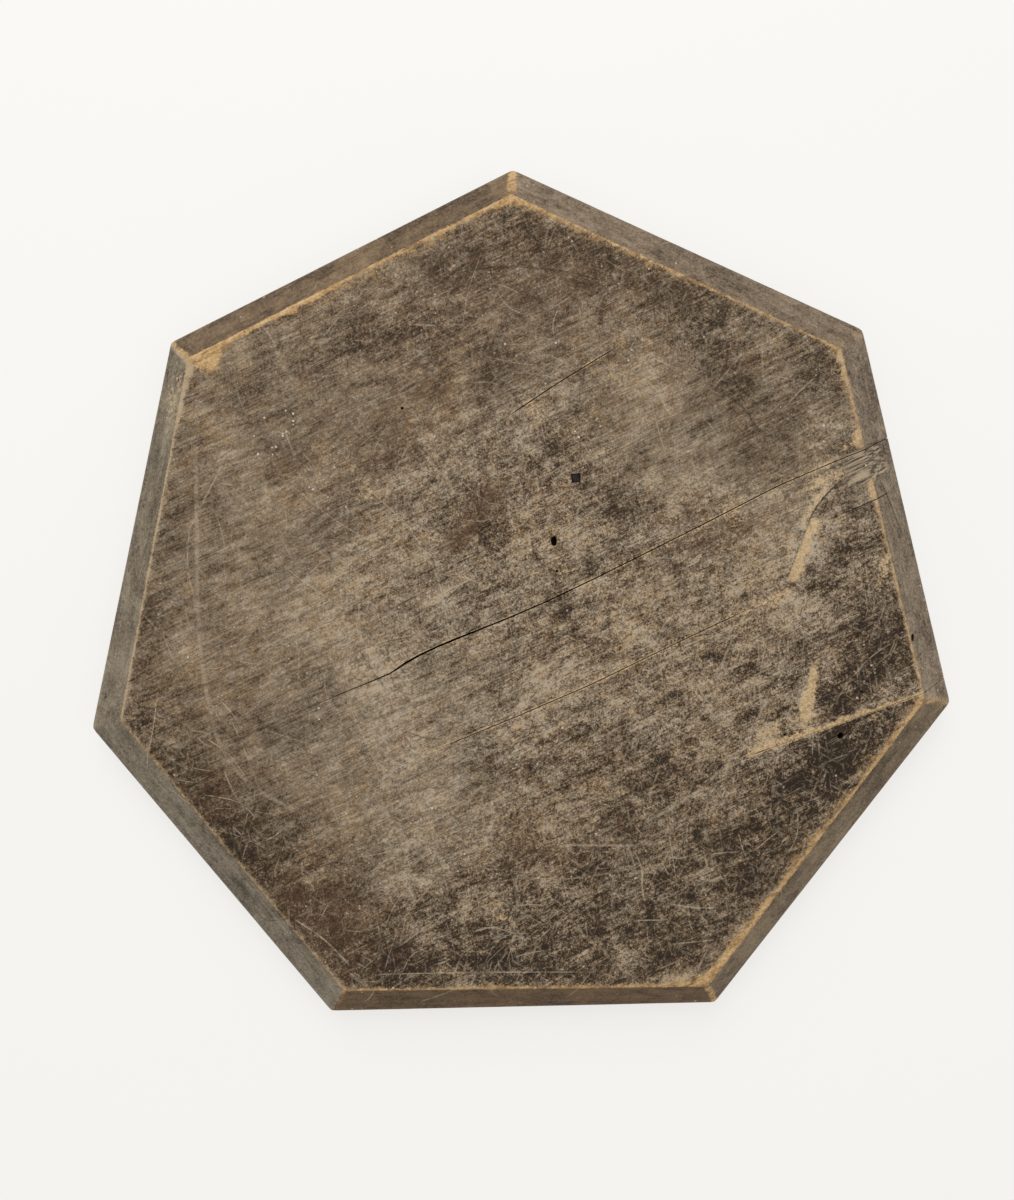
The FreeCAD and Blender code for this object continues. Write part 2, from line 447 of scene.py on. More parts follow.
PATCHES = (
    Patch(0.04, 0.300, 0.09, 0.022, -10, 0.6), Patch(0.11, 0.275, 0.06, 0.02, -28, 0.5),
    Patch(0.165, 0.225, 0.022, 0.045, 10, 0.9), Patch(0.205, 0.17, 0.022, 0.04, 25, 0.5),
    Patch(0.245, 0.215, 0.02, 0.016, 0, 0.6), Patch(-0.13, 0.235, 0.024, 0.012, 10, 0.9),
    Patch(-0.08, 0.243, 0.016, 0.010, 0, 0.6), Patch(-0.036, 0.082, 0.013, 0.024, -10, 1.1),
    Patch(0.03, 0.13, 0.03, 0.018, 10, 0.4), Patch(0.08, 0.08, 0.014, 0.026, 0, 0.5),
    Patch(-0.288, 0.115, 0.012, 0.06, -8, 0.5), Patch(-0.315, -0.02, 0.014, 0.06, -10, 0.5),
    Patch(-0.30, -0.12, 0.045, 0.022, -52, 1.0), Patch(-0.255, -0.18, 0.045, 0.022, -50, 0.9),
    Patch(-0.185, -0.215, 0.05, 0.03, -40, 0.7), Patch(-0.165, -0.27, 0.05, 0.025, -30, 0.6),
    Patch(-0.20, -0.09, 0.03, 0.015, -20, 0.35), Patch(0.04, 0.0, 0.016, 0.016, 0, 0.5),
    Patch(0.10, -0.12, 0.05, 0.025, 24, 0.45), Patch(0.12, -0.20, 0.09, 0.028, 10, 0.6),
    Patch(0.04, -0.215, 0.035, 0.016, 5, 0.5), Patch(0.0, -0.27, 0.045, 0.03, 10, 0.9),
    Patch(-0.11, -0.275, 0.022, 0.02, 0, 0.7), Patch(0.09, -0.265, 0.06, 0.025, 20, 0.5),
    Patch(0.312, -0.03, 0.02, 0.03, 10, 1.1), Patch(0.27, -0.115, 0.05, 0.026, 24, 1.5),
    Patch(0.235, -0.155, 0.045, 0.022, 35, 1.1), Patch(0.20, -0.20, 0.05, 0.025, 50, 0.7),
    Patch(0.275, 0.035, 0.02, 0.03, 0, 0.55), Patch(0.16, -0.245, 0.04, 0.02, 40, 0.5),
    Patch(0.13, -0.03, 0.05, 0.018, 24, 0.4), Patch(-0.05, -0.300, 0.12, 0.012, 0, 0.6),
    Patch(-0.11, -0.08, 0.028, 0.07, 5, -0.8), Patch(-0.08, -0.17, 0.05, 0.05, 0, -0.6),
    Patch(-0.08, -0.235, 0.025, 0.03, 0, -0.4), Patch(0.02, -0.05, 0.04, 0.015, 20, -0.4),
    Patch(0.0, -0.09, 0.05, 0.016, 15, -0.35), Patch(-0.15, 0.03, 0.09, 0.045, 10, -0.3),
    Patch(0.243, 0.055, 0.009, 0.045, -12, -1.0), Patch(0.243, -0.06, 0.009, 0.035, -10, -0.9),
    Patch(0.12, 0.17, 0.05, 0.03, 20, -0.35), Patch(0.17, 0.10, 0.05, 0.018, 24, -0.4),
    Patch(0.215, -0.105, 0.035, 0.007, 20, -1.0), Patch(0.285, 0.118, 0.028, 0.010, 24, -0.9),
    Patch(-0.12, 0.115, 0.035, 0.015, 10, -0.6), Patch(-0.07, 0.128, 0.03, 0.015, 10, -0.6),
           Patch(0.0, 0.176, 0.04, 0.015, 15, -0.5),
    Patch(0.17, 0.085, 0.035, 0.035, 30, -0.5), Patch(0.275, 0.078, 0.028, 0.010, 24, -0.9),
           Patch(0.22, 0.045, 0.012, 0.02, 0, -0.5),
    Patch(-0.19, -0.10, 0.035, 0.025, -20, -0.5), Patch(-0.15, -0.05, 0.03, 0.02, 24, -0.4),
           Patch(-0.085, -0.028, 0.045, 0.014, 20, -0.5),
    Patch(0.0, 0.005, 0.06, 0.02, 15, -0.4), Patch(-0.03, -0.085, 0.035, 0.018, 10, -0.35),
           Patch(-0.21, -0.005, 0.05, 0.02, 0, -0.3),
    Patch(0.222, -0.115, 0.02, 0.03, -50, -0.5), Patch(-0.13, -0.195, 0.06, 0.02, 0, -0.3),
           Patch(0.12, -0.25, 0.035, 0.015, 10, -0.5),
    Patch(0.16, 0.27, 0.02, 0.015, -20, -0.4), Patch(-0.285, 0.16, 0.012, 0.05, -10, -0.35),
           Patch(0.07, -0.163, 0.025, 0.012, 10, -0.4),
    Patch(0.165, 0.16, 0.015, 0.035, 0, -0.35), Patch(0.15, 0.0, 0.05, 0.015, 10, -0.3),
           Patch(0.27, 0.14, 0.02, 0.02, 0, -0.3),
    Patch(-0.055, 0.22, 0.05, 0.022, -10, 0.55), Patch(-0.08, 0.245, 0.03, 0.015, 10, 0.4),
           Patch(0.290, -0.045, 0.028, 0.014, 25, 0.9),
    Patch(0.270, -0.062, 0.02, 0.014, 30, 0.5), Patch(0.135, -0.145, 0.016, 0.012, 20, 0.7),
           Patch(0.06, -0.12, 0.035, 0.016, 20, 0.4),
    Patch(0.175, -0.115, 0.012, 0.022, -20, 0.5), Patch(-0.07, -0.22, 0.014, 0.02, 0, 0.5),
           Patch(-0.02, -0.25, 0.02, 0.03, 0, 0.35),
    Patch(0.125, -0.298, 0.02, 0.010, 0, 0.7), Patch(-0.275, -0.06, 0.022, 0.04, 10, 0.4),
           Patch(-0.10, 0.05, 0.025, 0.02, 0, 0.3),
    Patch(0.0, 0.322, 0.02, 0.02, 0, 0.6), Patch(0.08, 0.17, 0.02, 0.02, 0, 0.3),
           Patch(0.02, -0.208, 0.04, 0.012, 5, 0.4),
    Patch(0.21, -0.22, 0.02, 0.03, -40, 0.4), Patch(-0.20, 0.20, 0.04, 0.02, 20, 0.25),
           Patch(0.30, -0.10, 0.03, 0.015, 24, 0.5),
    Patch(0.04, -0.15, 0.03, 0.014, 15, 0.35), Patch(0.205, -0.065, 0.02, 0.012, 20, 0.35),
)

RUST = (
    Patch(-0.033, 0.092, 0.026, 0.008, 45, 0.85), Patch(-0.060, 0.070, 0.014, 0.004, 40, 0.8),
        Patch(-0.17, -0.25, 0.05, 0.03, -35, 0.7),
    Patch(0.16, 0.07, 0.03, 0.02, 24, 0.6), Patch(0.20, 0.0, 0.03, 0.02, 24, 0.3),
    Patch(-0.10, 0.16, 0.08, 0.05, 24, 0.35), Patch(0.02, -0.2, 0.05, 0.02, 10, 0.4),
    Patch(-0.28, -0.15, 0.03, 0.03, 0, 0.4), Patch(0.0, 0.28, 0.1, 0.03, 0, 0.4),
)

STROKES = (
    Stroke(((-0.270, 0.155), (-0.271, 0.088), (-0.272, -0.010), (-0.266, -0.064), (-0.257, -0.101),
            (-0.234, -0.135), (-0.187, -0.165)), 0.0044, 0.50),
    Stroke(((0.211, -0.064), (0.195, -0.100), (0.172, -0.129), (0.138, -0.157), (0.100, -0.178)), 0.0034,
           0.70),
    Stroke(((-0.071, 0.282), (-0.037, 0.292), (0.003, 0.294), (0.045, 0.289), (0.105, 0.272)), 0.0020, 0.8,
           2),
    Stroke(((0.104, 0.203), (0.119, 0.188), (0.127, 0.169)), 0.0022, 0.65),
    Stroke(((0.206, 0.230), (0.207, 0.205), (0.213, 0.180)), 0.0022, 0.50),
    Stroke(((0.213, 0.201), (0.255, 0.192)), 0.0018, 0.50, 1),
    Stroke(((-0.129, 0.115), (-0.092, 0.077), (-0.069, 0.034), (-0.060, -0.017)), 0.0014, 0.75),
    Stroke(((-0.130, -0.303), (-0.040, -0.303), (0.063, -0.305)), 0.0014, 0.85),
    Stroke(((0.030, -0.194), (0.099, -0.196)), 0.0024, 0.70),
    Stroke(((0.030, -0.224), (0.060, -0.221), (0.095, -0.215)), 0.0016, 0.60),
    Stroke(((0.153, -0.202), (0.157, -0.221)), 0.0022, 0.85),
    Stroke(((-0.039, -0.227), (0.0, -0.222), (0.030, -0.224)), 0.0016, 0.45, 1),
    Stroke(((0.154, 0.198), (0.172, 0.188), (0.192, 0.172), (0.204, 0.155), (0.223, 0.145), (0.236, 0.134)),
           0.0026, 0.75, 2),
    Stroke(((0.191, 0.147), (0.202, 0.140), (0.217, 0.147)), 0.0020, 0.55, 2),
    Stroke(((0.145, 0.135), (0.151, 0.116)), 0.0016, 0.55, 1),
    Stroke(((0.058, -0.019), (0.067, -0.002), (0.066, 0.015)), 0.0014, 0.45, 1),
    Stroke(((0.023, -0.018), (0.041, -0.031), (0.062, -0.036)), 0.0014, 0.50),
    Stroke(((-0.166, 0.290), (-0.169, 0.278)), 0.0014, 0.8, 1),
    Stroke(((0.152, 0.280), (0.176, 0.290)), 0.0012, 0.7, 2),
    Stroke(((0.171, 0.264), (0.188, 0.272)), 0.0012, 0.6, 2),
    Stroke(((0.3068, 0.1142), (0.3136, 0.1022), (0.3204, 0.0884), (0.3264, 0.0747), (0.3315, 0.0635)),
           0.0022, 1.0, 2),
    Stroke(((0.3242, 0.0817), (0.3320, 0.0892)), 0.0014, 0.9, 1),
           Stroke(((0.3302, 0.0678), (0.3353, 0.0652)), 0.0014, 0.9, 1),
    Stroke(((0.3010, 0.1385), (0.3134, 0.1452)), 0.0014, 0.9, 1),
    Stroke(((0.183, -0.010), (0.170, -0.045), (0.160, -0.080)), 0.0018, 0.45, 1),
    Stroke(((-0.112, -0.095), (-0.090, -0.060), (-0.084, -0.020)), 0.0022, 0.35, 1),
    Stroke(((0.343, -0.046), (0.359, -0.052)), 0.0014, 0.7, 1),
)


@dataclass(frozen=True)
class ScratchField:
    """A crowd of short hairline scratches scattered over part of the face."""

    x: float
    y: float
    rx: float
    ry: float
    count: int
    angle: float
    spread: float
    length: float
    strength: float = 0.5
    dark: bool = False

    def strokes(self, seed: int) -> list:
        """The scratches, each a gently bent stroke on one of three layers, or on the dark one.

        Args:
            seed: Random seed.
        """
        rng = np.random.default_rng(seed)
        made = []
        for k in range(self.count):
            x, y = self.x + self.rx * rng.normal() * 0.6, self.y + self.ry * rng.normal() * 0.6
            angle = radians(self.angle + self.spread * rng.normal())
            reach = self.length * (0.5 + rng.random() ** 2 * 1.4) / 2
            bow = reach * rng.normal() * 0.10
            dx, dy = cos(angle), sin(angle)
            points = ((x - dx * reach, y - dy * reach), (x - dy * bow, y + dx * bow),
                      (x + dx * reach, y + dy * reach))
            width = 0.0008 + 0.0011 * rng.random() ** 2
            made.append(Stroke(points, width, self.strength * (0.8 + 1.0 * rng.random()),
                               6 if self.dark else 3 + k % 3))
        return made


CRUST = (
    Patch(-0.235, 0.06, 0.055, 0.13, 0, -0.65), Patch(-0.20, -0.06, 0.07, 0.06, 0, -0.45),
         Patch(-0.12, -0.15, 0.06, 0.07, -20, -0.55),
    Patch(0.16, 0.165, 0.055, 0.038, 10, -0.65), Patch(0.20, 0.09, 0.03, 0.03, 0, -0.2),
         Patch(-0.10, 0.19, 0.08, 0.03, 10, -0.3),
    Patch(-0.02, 0.03, 0.09, 0.08, 30, 0.30), Patch(0.10, 0.04, 0.08, 0.05, 20, 0.25),
         Patch(0.25, -0.05, 0.07, 0.08, 10, 0.75),
    Patch(0.10, -0.13, 0.12, 0.07, 20, 0.5), Patch(0.0, -0.27, 0.14, 0.05, 0, 0.6),
         Patch(0.0, 0.12, 0.06, 0.05, 0, 0.35),
    Patch(0.29, 0.05, 0.03, 0.05, 0, 0.45), Patch(-0.19, -0.20, 0.04, 0.03, -40, 0.3),
)

# Colour factors of the bevels, one row a side clockwise from the top: painted light and shade, each side made
# lighter or darker as the lamp beyond the top falls on it, the bottom side darkest, together with some of the
# sides' own tone.
BEVEL_SIDE_TONE_AND_SHADE = ((0.98, 0.95, 0.92), (1.16, 1.17, 1.17), (0.90, 0.85, 0.74), (0.61, 0.465, 0.30),
               (0.97, 1.05, 1.08),
               (0.98, 1.04, 1.04), (0.80, 0.70, 0.58))

DUSTY = (
    Patch(-0.195, 0.155, 0.020, 0.014, 20, 0.9), Patch(-0.165, 0.128, 0.012, 0.006, 10, 0.8),
         Patch(0.228, 0.182, 0.014, 0.012, 0, 0.9),
    Patch(-0.157, -0.030, 0.012, 0.008, 0, 0.6), Patch(0.05, 0.16, 0.02, 0.02, 0, 0.5),
         Patch(0.285, -0.075, 0.010, 0.008, 0, 0.7),
    Patch(-0.07, -0.20, 0.05, 0.04, 0, 0.3), Patch(-0.17, -0.13, 0.03, 0.03, 0, 0.3),
         Patch(0.17, 0.03, 0.02, 0.01, 0, 0.5),
)

PALE = (
    Patch(0.2418, -0.0800, 0.0048, 0.0130, -8, 1.0), Patch(0.2470, -0.0600, 0.0026, 0.0160, -10, 0.95),
    Patch(0.2866, 0.1490, 0.0030, 0.0050, 0, 1.0), Patch(0.2790, 0.1400, 0.0070, 0.0020, 24, 0.5),
    Patch(0.1823, 0.0900, 0.0090, 0.0120, 0, 0.42), Patch(0.2600, 0.1130, 0.0180, 0.0050, 24, 0.55),
    Patch(0.3080, 0.0400, 0.0035, 0.0100, 0, 0.55), Patch(0.3020, 0.0230, 0.0030, 0.0040, 0, 0.5),
    Patch(-0.2900, 0.1900, 0.0080, 0.0250, -10, 0.40), Patch(0.0150, 0.1750, 0.0060, 0.0120, 20, 0.38),
    Patch(-0.0200, -0.2550, 0.0060, 0.0040, 0, 0.5), Patch(0.2090, -0.1000, 0.0100, 0.0040, 24, 0.6),
    Patch(-0.1300, 0.1120, 0.0050, 0.0100, 30, 0.42), Patch(0.1050, -0.1700, 0.0100, 0.0040, 20, 0.30),
    Patch(0.0350, 0.0400, 0.0080, 0.0100, 0, 0.30), Patch(0.2200, 0.0120, 0.0120, 0.0040, 24, 0.45),
)

HALO_REACH = (0.008, 0.010, 0.016, 0.008, 0.005, 0.006, 0.010)

JOINT_WEAR = (
    (UPPER_JOINT,
     ((-0.16, 0.5, 0.3, 0.2), (-0.10, 1.5, 1.0, 0.5), (0.0, 1.2, 1.0, 0.6), (0.08, 1.2, 1.0, 0.6),
      (0.14, 1.8, 2.0, 0.55),
                   (0.18, 1.6, 1.8, 0.55), (0.24, 1.0, 1.2, 0.55), (0.29, 3.0, 2.0, 0.6),
      (0.31, 0.5, 0.5, 0.3))),
    (LOWER_JOINT,
     ((0.115, 0.0, 0.0, 0.0), (0.130, 4.5, 1.5, 0.75), (0.16, 4.5, 1.0, 0.70), (0.20, 4.0, 0.4, 0.85),
      (0.27, 2.6, 0.4, 0.85),
                   (0.30, 2.4, 0.8, 0.85), (0.325, 5.0, 3.5, 0.9))),
    (MIDDLE_SPLITS[0],
     ((-0.12, 0.3, 0.3, 0.5), (-0.05, 0.7, 0.5, 0.8), (0.05, 0.8, 0.6, 0.8), (0.12, 1.4, 0.8, 0.55),
      (0.20, 1.8, 1.2, 0.62),
                        (0.23, 0.5, 0.5, 0.2))),
    (UPPER_SPLITS[0],
     ((0.045, 0.3, 0.2, 0.3), (0.08, 0.5, 0.5, 0.6), (0.16, 0.5, 0.4, 0.6), (0.18, 0.2, 0.2, 0.3))),
)

SCRATCH_FIELDS = (
    ScratchField(-0.20, 0.02, 0.10, 0.16, 46, -70, 30, 0.045, 0.42),
                  ScratchField(-0.10, 0.17, 0.15, 0.10, 44, 24, 26, 0.040, 0.40),
    ScratchField(-0.25, -0.11, 0.05, 0.06, 26, -45, 35, 0.045, 0.60),
                  ScratchField(-0.10, -0.26, 0.10, 0.05, 46, 20, 45, 0.035, 0.65),
    ScratchField(0.05, -0.24, 0.12, 0.06, 44, 25, 40, 0.030, 0.62),
                  ScratchField(0.17, -0.20, 0.07, 0.06, 30, 45, 40, 0.028, 0.62),
    ScratchField(0.16, -0.05, 0.08, 0.07, 34, 80, 30, 0.030, 0.50),
                  ScratchField(0.27, -0.05, 0.05, 0.08, 24, 60, 45, 0.025, 0.55),
    ScratchField(0.13, 0.17, 0.12, 0.10, 44, 10, 50, 0.032, 0.42),
                  ScratchField(0.0, 0.05, 0.12, 0.08, 40, 50, 60, 0.028, 0.42),
    ScratchField(0.0, -0.10, 0.14, 0.07, 40, 30, 35, 0.038, 0.40),
                  ScratchField(0.03, 0.25, 0.12, 0.04, 24, -5, 40, 0.035, 0.50),
    ScratchField(0.0, 0.0, 0.28, 0.26, 90, 24, 18, 0.045, 0.55, True),
                  ScratchField(0.0, 0.0, 0.28, 0.26, 60, -50, 50, 0.025, 0.45, True),
)


def nearest_on(points: tuple, x: np.ndarray, y: np.ndarray) -> tuple:
    """Where places lie beside a smooth line through points.

    Args:
        points: The line's points, in order.
        x: Places across the board.
        y: Places up the board.

    Returns:
        Signed distances, shares of the way along, and the line's length.
    """
    rows = np.array(points)
    if len(rows) > 2:
        t = np.linspace(0, len(rows) - 1, 8 * (len(rows) - 1) + 1)
        i = np.clip(t.astype(int), 0, len(rows) - 2)
        f = (t - i)[:, None]
        p = np.vstack([2 * rows[0] - rows[1], rows, 2 * rows[-1] - rows[-2]])
        a, b, c, d = p[i], p[i + 1], p[i + 2], p[i + 3]
        rows = 0.5 * (2 * b + (c - a) * f + (2 * a - 5 * b + 4 * c - d) * f**2 + (3 * b - a - 3 * c + d)
                      * f**3)
    way = rows[1:] - rows[:-1]
    length = np.linalg.norm(way, axis=1)
    start = np.concatenate([[0], np.cumsum(length)])
    best, side, share = np.full(x.shape, 1e9), np.zeros_like(x), np.zeros_like(x)
    for k in range(len(way)):
        dx, dy = x - rows[k, 0], y - rows[k, 1]
        t = np.clip((dx * way[k, 0] + dy * way[k, 1]) / length[k] ** 2, 0, 1)
        ex, ey = dx - t * way[k, 0], dy - t * way[k, 1]
        dist = np.hypot(ex, ey)
        closer = dist < best
        best = np.where(closer, dist, best)
        cross = way[k, 0] * dy - way[k, 1] * dx
        side = np.where(closer, np.sign(cross), side)
        share = np.where(closer, (start[k] + t * length[k]) / start[-1], share)
    return best * side, share, start[-1]


@dataclass(frozen=True)
class TopWear:
    """Everything that wear has done to the upper side of the board: its heights and its masks, which also hold
    painted shade in its cracks, holes and joints and painted light and shade on the bevels.
    """

    outline: Outline = OUTLINE
    notch: tuple = (0.300, 0.1270)
    notch_turn: float = 22.0
    flake: tuple = ((0.2840, 0.1140), (0.2696, 0.1089), (0.2560, 0.0957), (0.2474, 0.0824), (0.2431, 0.0707),
                    (0.2388, 0.0606),
                    (0.2337, 0.0481), (0.2276, 0.0329), (0.2250, 0.0245))
    nail: tuple = (0.0487, 0.1178)
    holes: tuple = ((0.0293, 0.0652, 0.0024, 0.0038, 0.010), (0.2711, -0.1050, 0.0026, 0.0026, 0.010),
                    (0.3336, -0.0225, 0.0017, 0.0030, 0.008), (0.0314, 0.0399, 0.0010, 0.0010, 0.004),
                    (-0.0963, 0.1788, 0.0011, 0.0011, 0.004), (0.2233, -0.1032, 0.0010, 0.0010, 0.004),
                    (0.2891, -0.0677, 0.0010, 0.0010, 0.004))
    mitre_wear: tuple = (1.0, 0.25, 0.55, 1.0, 0.35, 0.3, 1.0)

    def rounding(self, x: np.ndarray, y: np.ndarray) -> np.ndarray:
        """How far each side of the arris is worn round, in metres.

        Args:
            x: Places across the board.
            y: Places up the board.
        """
        chips = np.clip(Field(11, 0.014, 3, 0.6)(x, y) - 0.12, 0, 1) * 0.006
        return 0.0011 + 0.0007 * (Field(12, 0.05, 2)(x, y) + 0.5) + chips

    def notch_depth(self, x: np.ndarray, y: np.ndarray) -> np.ndarray:
        """Depth of the splintered hollow where the upper joint runs out over the right-hand arris.

        Args:
            x: Places across the board.
            y: Places up the board.
        """
        c, s = cos(radians(self.notch_turn)), sin(radians(self.notch_turn))
        dx, dy = x - self.notch[0], y - self.notch[1]
        a, b = dx * c + dy * s, -dx * s + dy * c
        b = b + 0.0012 * Field(21, 0.006, 2)(a, b)
        width = fade(np.abs(b - 0.0005), 0.0150, 0.0128)
        reach = fade(a, -0.034 + 0.010 * Field(22, 0.004, 2)(a * 0.1, b), 0.004) * fade(a, 0.020, 0.008)
        ribs = 1 + 0.22 * Field(23, 0.0022, 2)(a * 0.06, b)
        return 0.0024 * width * reach * ribs

    def flake_side(self, x: np.ndarray, y: np.ndarray) -> tuple:
        """Signed distance to the flake's ragged lip, and the share of the way along it.

        Args:
            x: Places across the board.
            y: Places up the board.
        """
        ragged = 0.0016 * Field(31, 0.009, 3, 0.6)(x, y)
        side, share, _ = nearest_on(self.flake, x + ragged, y + ragged)
        return side, share

    def height(self, x: np.ndarray, y: np.ndarray) -> np.ndarray:
        """Height of the worn surface above the unworn face.

        Args:
            x: Places across the board.
            y: Places up the board.
        """
        t = self.outline.fall(x, y)
        k = self.rounding(x, y) / self.outline.run
        worn = np.maximum(k - np.abs(t.max(1)), 0) ** 2 / (4 * k)
        order = np.sort(t, 1)
        ridge = np.maximum(2.0 * k - (order[:, -1] - order[:, -2]), 0) ** 2 / (8 * k)
        down = np.maximum(order[:, -1], 0) + worn + np.where(order[:, -1] > 0, ridge, 0)
        z = -self.outline.drop * np.minimum(down, 1.0)
        on_bevel = fade(order[:, -1], 0.0, 0.15)
        z -= 0.0004 * on_bevel * (0.5 + 0.5 * Field(13, 0.06, 3)(x, y))
        foot = self.outline.inside(x, y).min(1)
        z -= 0.0012 * fade(foot, 0.0022, 0.0) ** 2
        u, v = to_grain(x, y)
        z -= (1 - on_bevel) * (0.0003 * (0.6 + 0.6 * Field(14, 0.13, 3)(x, y)).clip(0, 1))
        z -= 0.00010 * (1 + Field(15, 0.0036, 2)(u * 0.05, v))
        z -= self.notch_depth(x, y)
        side, share = self.flake_side(x, y)
        ends = fade(np.minimum(share, 1 - share), 0.0, 0.08)
        z -= 0.0007 * ends * fade(side, -0.0004, 0.0006) * fade(side, 0.012, 0.006)
        for hx, hy, rx, ry, deep in self.holes:
            r = np.hypot((x - hx) / rx, (y - hy) / ry)
            z -= deep * fade(r, 1.08, 0.86)
        r = np.maximum(np.abs(x - self.nail[0]), np.abs(y - self.nail[1]))
        z -= 0.0016 * fade(r, 0.0037, 0.0032)
        return np.minimum(z, -0.00002)

    def bare(self, x: np.ndarray, y: np.ndarray) -> np.ndarray:
        """Bare, rubbed wood along the arrises and the mitre ridges.

        Args:
            x: Places across the board.
            y: Places up the board.
        """
        out = self.outline.out_of_face(x, y)
        t = self.outline.fall(x, y)
        top = t.argmax(1)
        rough = Field(41, 0.012, 3, 0.6)(x, y)
        found = np.zeros_like(x)
        for wear in WEAR:
            s = self.outline.along(x, y, wear.side)
            off = out[:, wear.side]
            face = np.array(wear.face)
            bevel = np.array(wear.bevel)
            reach = np.interp(s, face[:, 0], face[:, 1]) * MM * (1 + 0.9 * rough)
            power = np.interp(s, face[:, 0], face[:, 2])
            inner = fade(-off, reach * 1.5 + 0.0006, reach * 0.4) * (off <= 0) * power
            reach = np.interp(s, bevel[:, 0], bevel[:, 1]) * MM * (1 + 0.9 * rough)
            power = np.interp(s, bevel[:, 0], bevel[:, 2])
            outer = fade(off, reach * 1.5 + 0.0005, reach * 0.4) * (off > 0) * power
            found = np.where(top == wear.side, np.maximum(found, np.maximum(inner, outer)), found)
        order = np.sort(t, 1)
        gap = (order[:, -1] - order[:, -2]) * self.outline.run
        corner = np.argmin([np.hypot(x - c[0], y - c[1]) for c in self.outline.corners()], 0)
        power = np.array(self.mitre_wear)[corner]
        notches = 0.5 + 0.9 * Field(42, 0.007, 2)(x, y)
        ridge = fade(gap, 0.0050,
                     0.0012) * (order[:, -1] > 0) * (order[:, -1] < 0.97) * power * np.clip(notches + 0.3, 0,
                                                                                            1)
        return np.maximum(found, ridge)

    def masks(self, x: np.ndarray, y: np.ndarray) -> dict:
        """All the masks that the face's finish reads, by name.

        Args:
            x: Places across the board.
            y: Places up the board.
        """
        t = self.outline.fall(x, y)
        out = self.outline.out_of_face(x, y).max(1)
        wander = 0.006 * Field(51, 0.03, 3, 0.6)(x, y)
        shade = sum(p.at(x + wander, y - wander) for p in PATCHES)
        rust = sum(p.at(x - wander, y + wander) for p in RUST)
        side, share = self.flake_side(x, y)
        ends = fade(np.minimum(share, 1 - share), 0.0, 0.06)
        low_half = fade(share, 0.42, 0.50)
        # A dark line along the flake's lip: painted shade under its step.
        lip = fade(np.abs(side), 0.0012, 0.0002) * ends * (0.45 + 0.35 * (1 - low_half))
        band = 0.0100 + 0.0045 * Field(32, 0.008, 2)(x, y)
        pale = fade(side, 0.0, 0.0008) * fade(side, band, band * 0.55) * fade(share, 1.0, 0.93) * low_half
        grey = fade(-side, 0.0, 0.0010) * fade(-side, 0.010, 0.005) * fade(share, 0.12, 0.25) * fade(share,
                                                                                                     0.58, 0.48)
        pale = np.maximum(pale, grey * 0.62)
        pale = np.maximum(pale, sum(p.at(x + wander * 0.4, y) for p in PALE))
        splinter = np.clip(self.notch_depth(x, y) / 0.0012, 0, 1)
        # The holes are painted near black: painted shade in their depth. The ring round the nail is darker too.
        dark = np.zeros_like(x)
        for hx, hy, rx, ry, _ in self.holes:
            dark = np.maximum(dark, fade(np.hypot((x - hx) / rx, (y - hy) / ry), 1.12, 0.95))
        r = np.maximum(np.abs(x - self.nail[0]), np.abs(y - self.nail[1]))
        dark = np.maximum(dark, fade(r * (1 + 0.25 * Field(54, 0.003, 2)(x, y)), 0.0052, 0.0030) * 0.85)
        crust = 0.48 + sum(p.at(x + wander, y + wander) for p in CRUST) + 0.2 * Field(52, 0.08, 3)(x, y)
        side_of = t.argmax(1)
        # Each bevel takes its side's factors: painted light and shade by side, with the sides' own tone.
        tint = np.array(BEVEL_SIDE_TONE_AND_SHADE)[side_of]
        tint = np.where((t.max(1) > -0.02)[:, None], tint, 1.0)
        along = np.zeros((len(x), 3))
        normal, offset = self.outline.lines(self.outline.face_corners())
        n, d = normal[side_of], offset[side_of]
        along[:, 0] = x * n[:, 1] - y * n[:, 0]
        along[:, 1] = x * n[:, 0] + y * n[:, 1] - d
        along[:, 2] = side_of * 0.41
        warmth = np.array([w.warmth for w in sorted(WEAR, key=lambda w: w.side)])[side_of]
        warmth = warmth + (0.62 - warmth) * fade(out, -0.018, -0.030)
        warmth = warmth * (1 - 0.9 * grey)
        return {"bare": self.bare(x, y), "shade": shade, "rust": rust, "crack": np.maximum(dark, lip),
                "bevel": fade(t.max(1), -0.01, 0.03), "pale": np.maximum(pale, self.joint_wear(x, y)),
                "splinter": splinter,
                "crust": np.clip(crust, 0, 1.2), "warmth": warmth, "dusty": sum(p.at(x, y) for p in DUSTY),
                "halo": self.halo(x, y), "side_tone_and_shade": tint, "bevel_place": along}

    def halo(self, x: np.ndarray, y: np.ndarray) -> np.ndarray:
        """The scattered rubbed flecks on the face beside each arris, wide where the arris is most worn.

        Args:
            x: Places across the board.
            y: Places up the board.
        """
        out = self.outline.out_of_face(x, y)
        reach = np.array(HALO_REACH)[out.argmax(1)] * (1 + 1.2 * Field(43, 0.035, 3)(x, y))
        return 0.62 * fade(out.max(1), -reach, 0.0) * (out.max(1) < 0.0003)

    @staticmethod
    def joint_wear(x: np.ndarray, y: np.ndarray) -> np.ndarray:
        """The paler, rubbed edges along the joints and splits.

        Args:
            x: Places across the board.
            y: Places up the board.
        """
        u, v = to_grain(x, y)
        rough = 1.3 * Field(53, 0.009, 3, 0.65)(x, y)
        found = np.zeros_like(x)
        for split, rows in JOINT_WEAR:
            rows = np.array(rows)
            off = v - split.across(u)
            for sign, column in ((1, 1), (-1, 2)):
                reach = np.interp(u, rows[:, 0], rows[:, column], left=0, right=0) * MM * (1 + 1.0 * rough)
                power = np.interp(u, rows[:, 0], rows[:, 3], left=0, right=0)
                side = off * sign
                found = np.maximum(found, power * (side >= 0) * fade(side, reach * 1.6 + 0.0002, reach * 0.3))
        return found * fade(OUTLINE.out_of_face(x, y).max(1), 0.002, -0.001)


TOP_WEAR = TopWear()


# ---------------------------------------------------------------- finishes


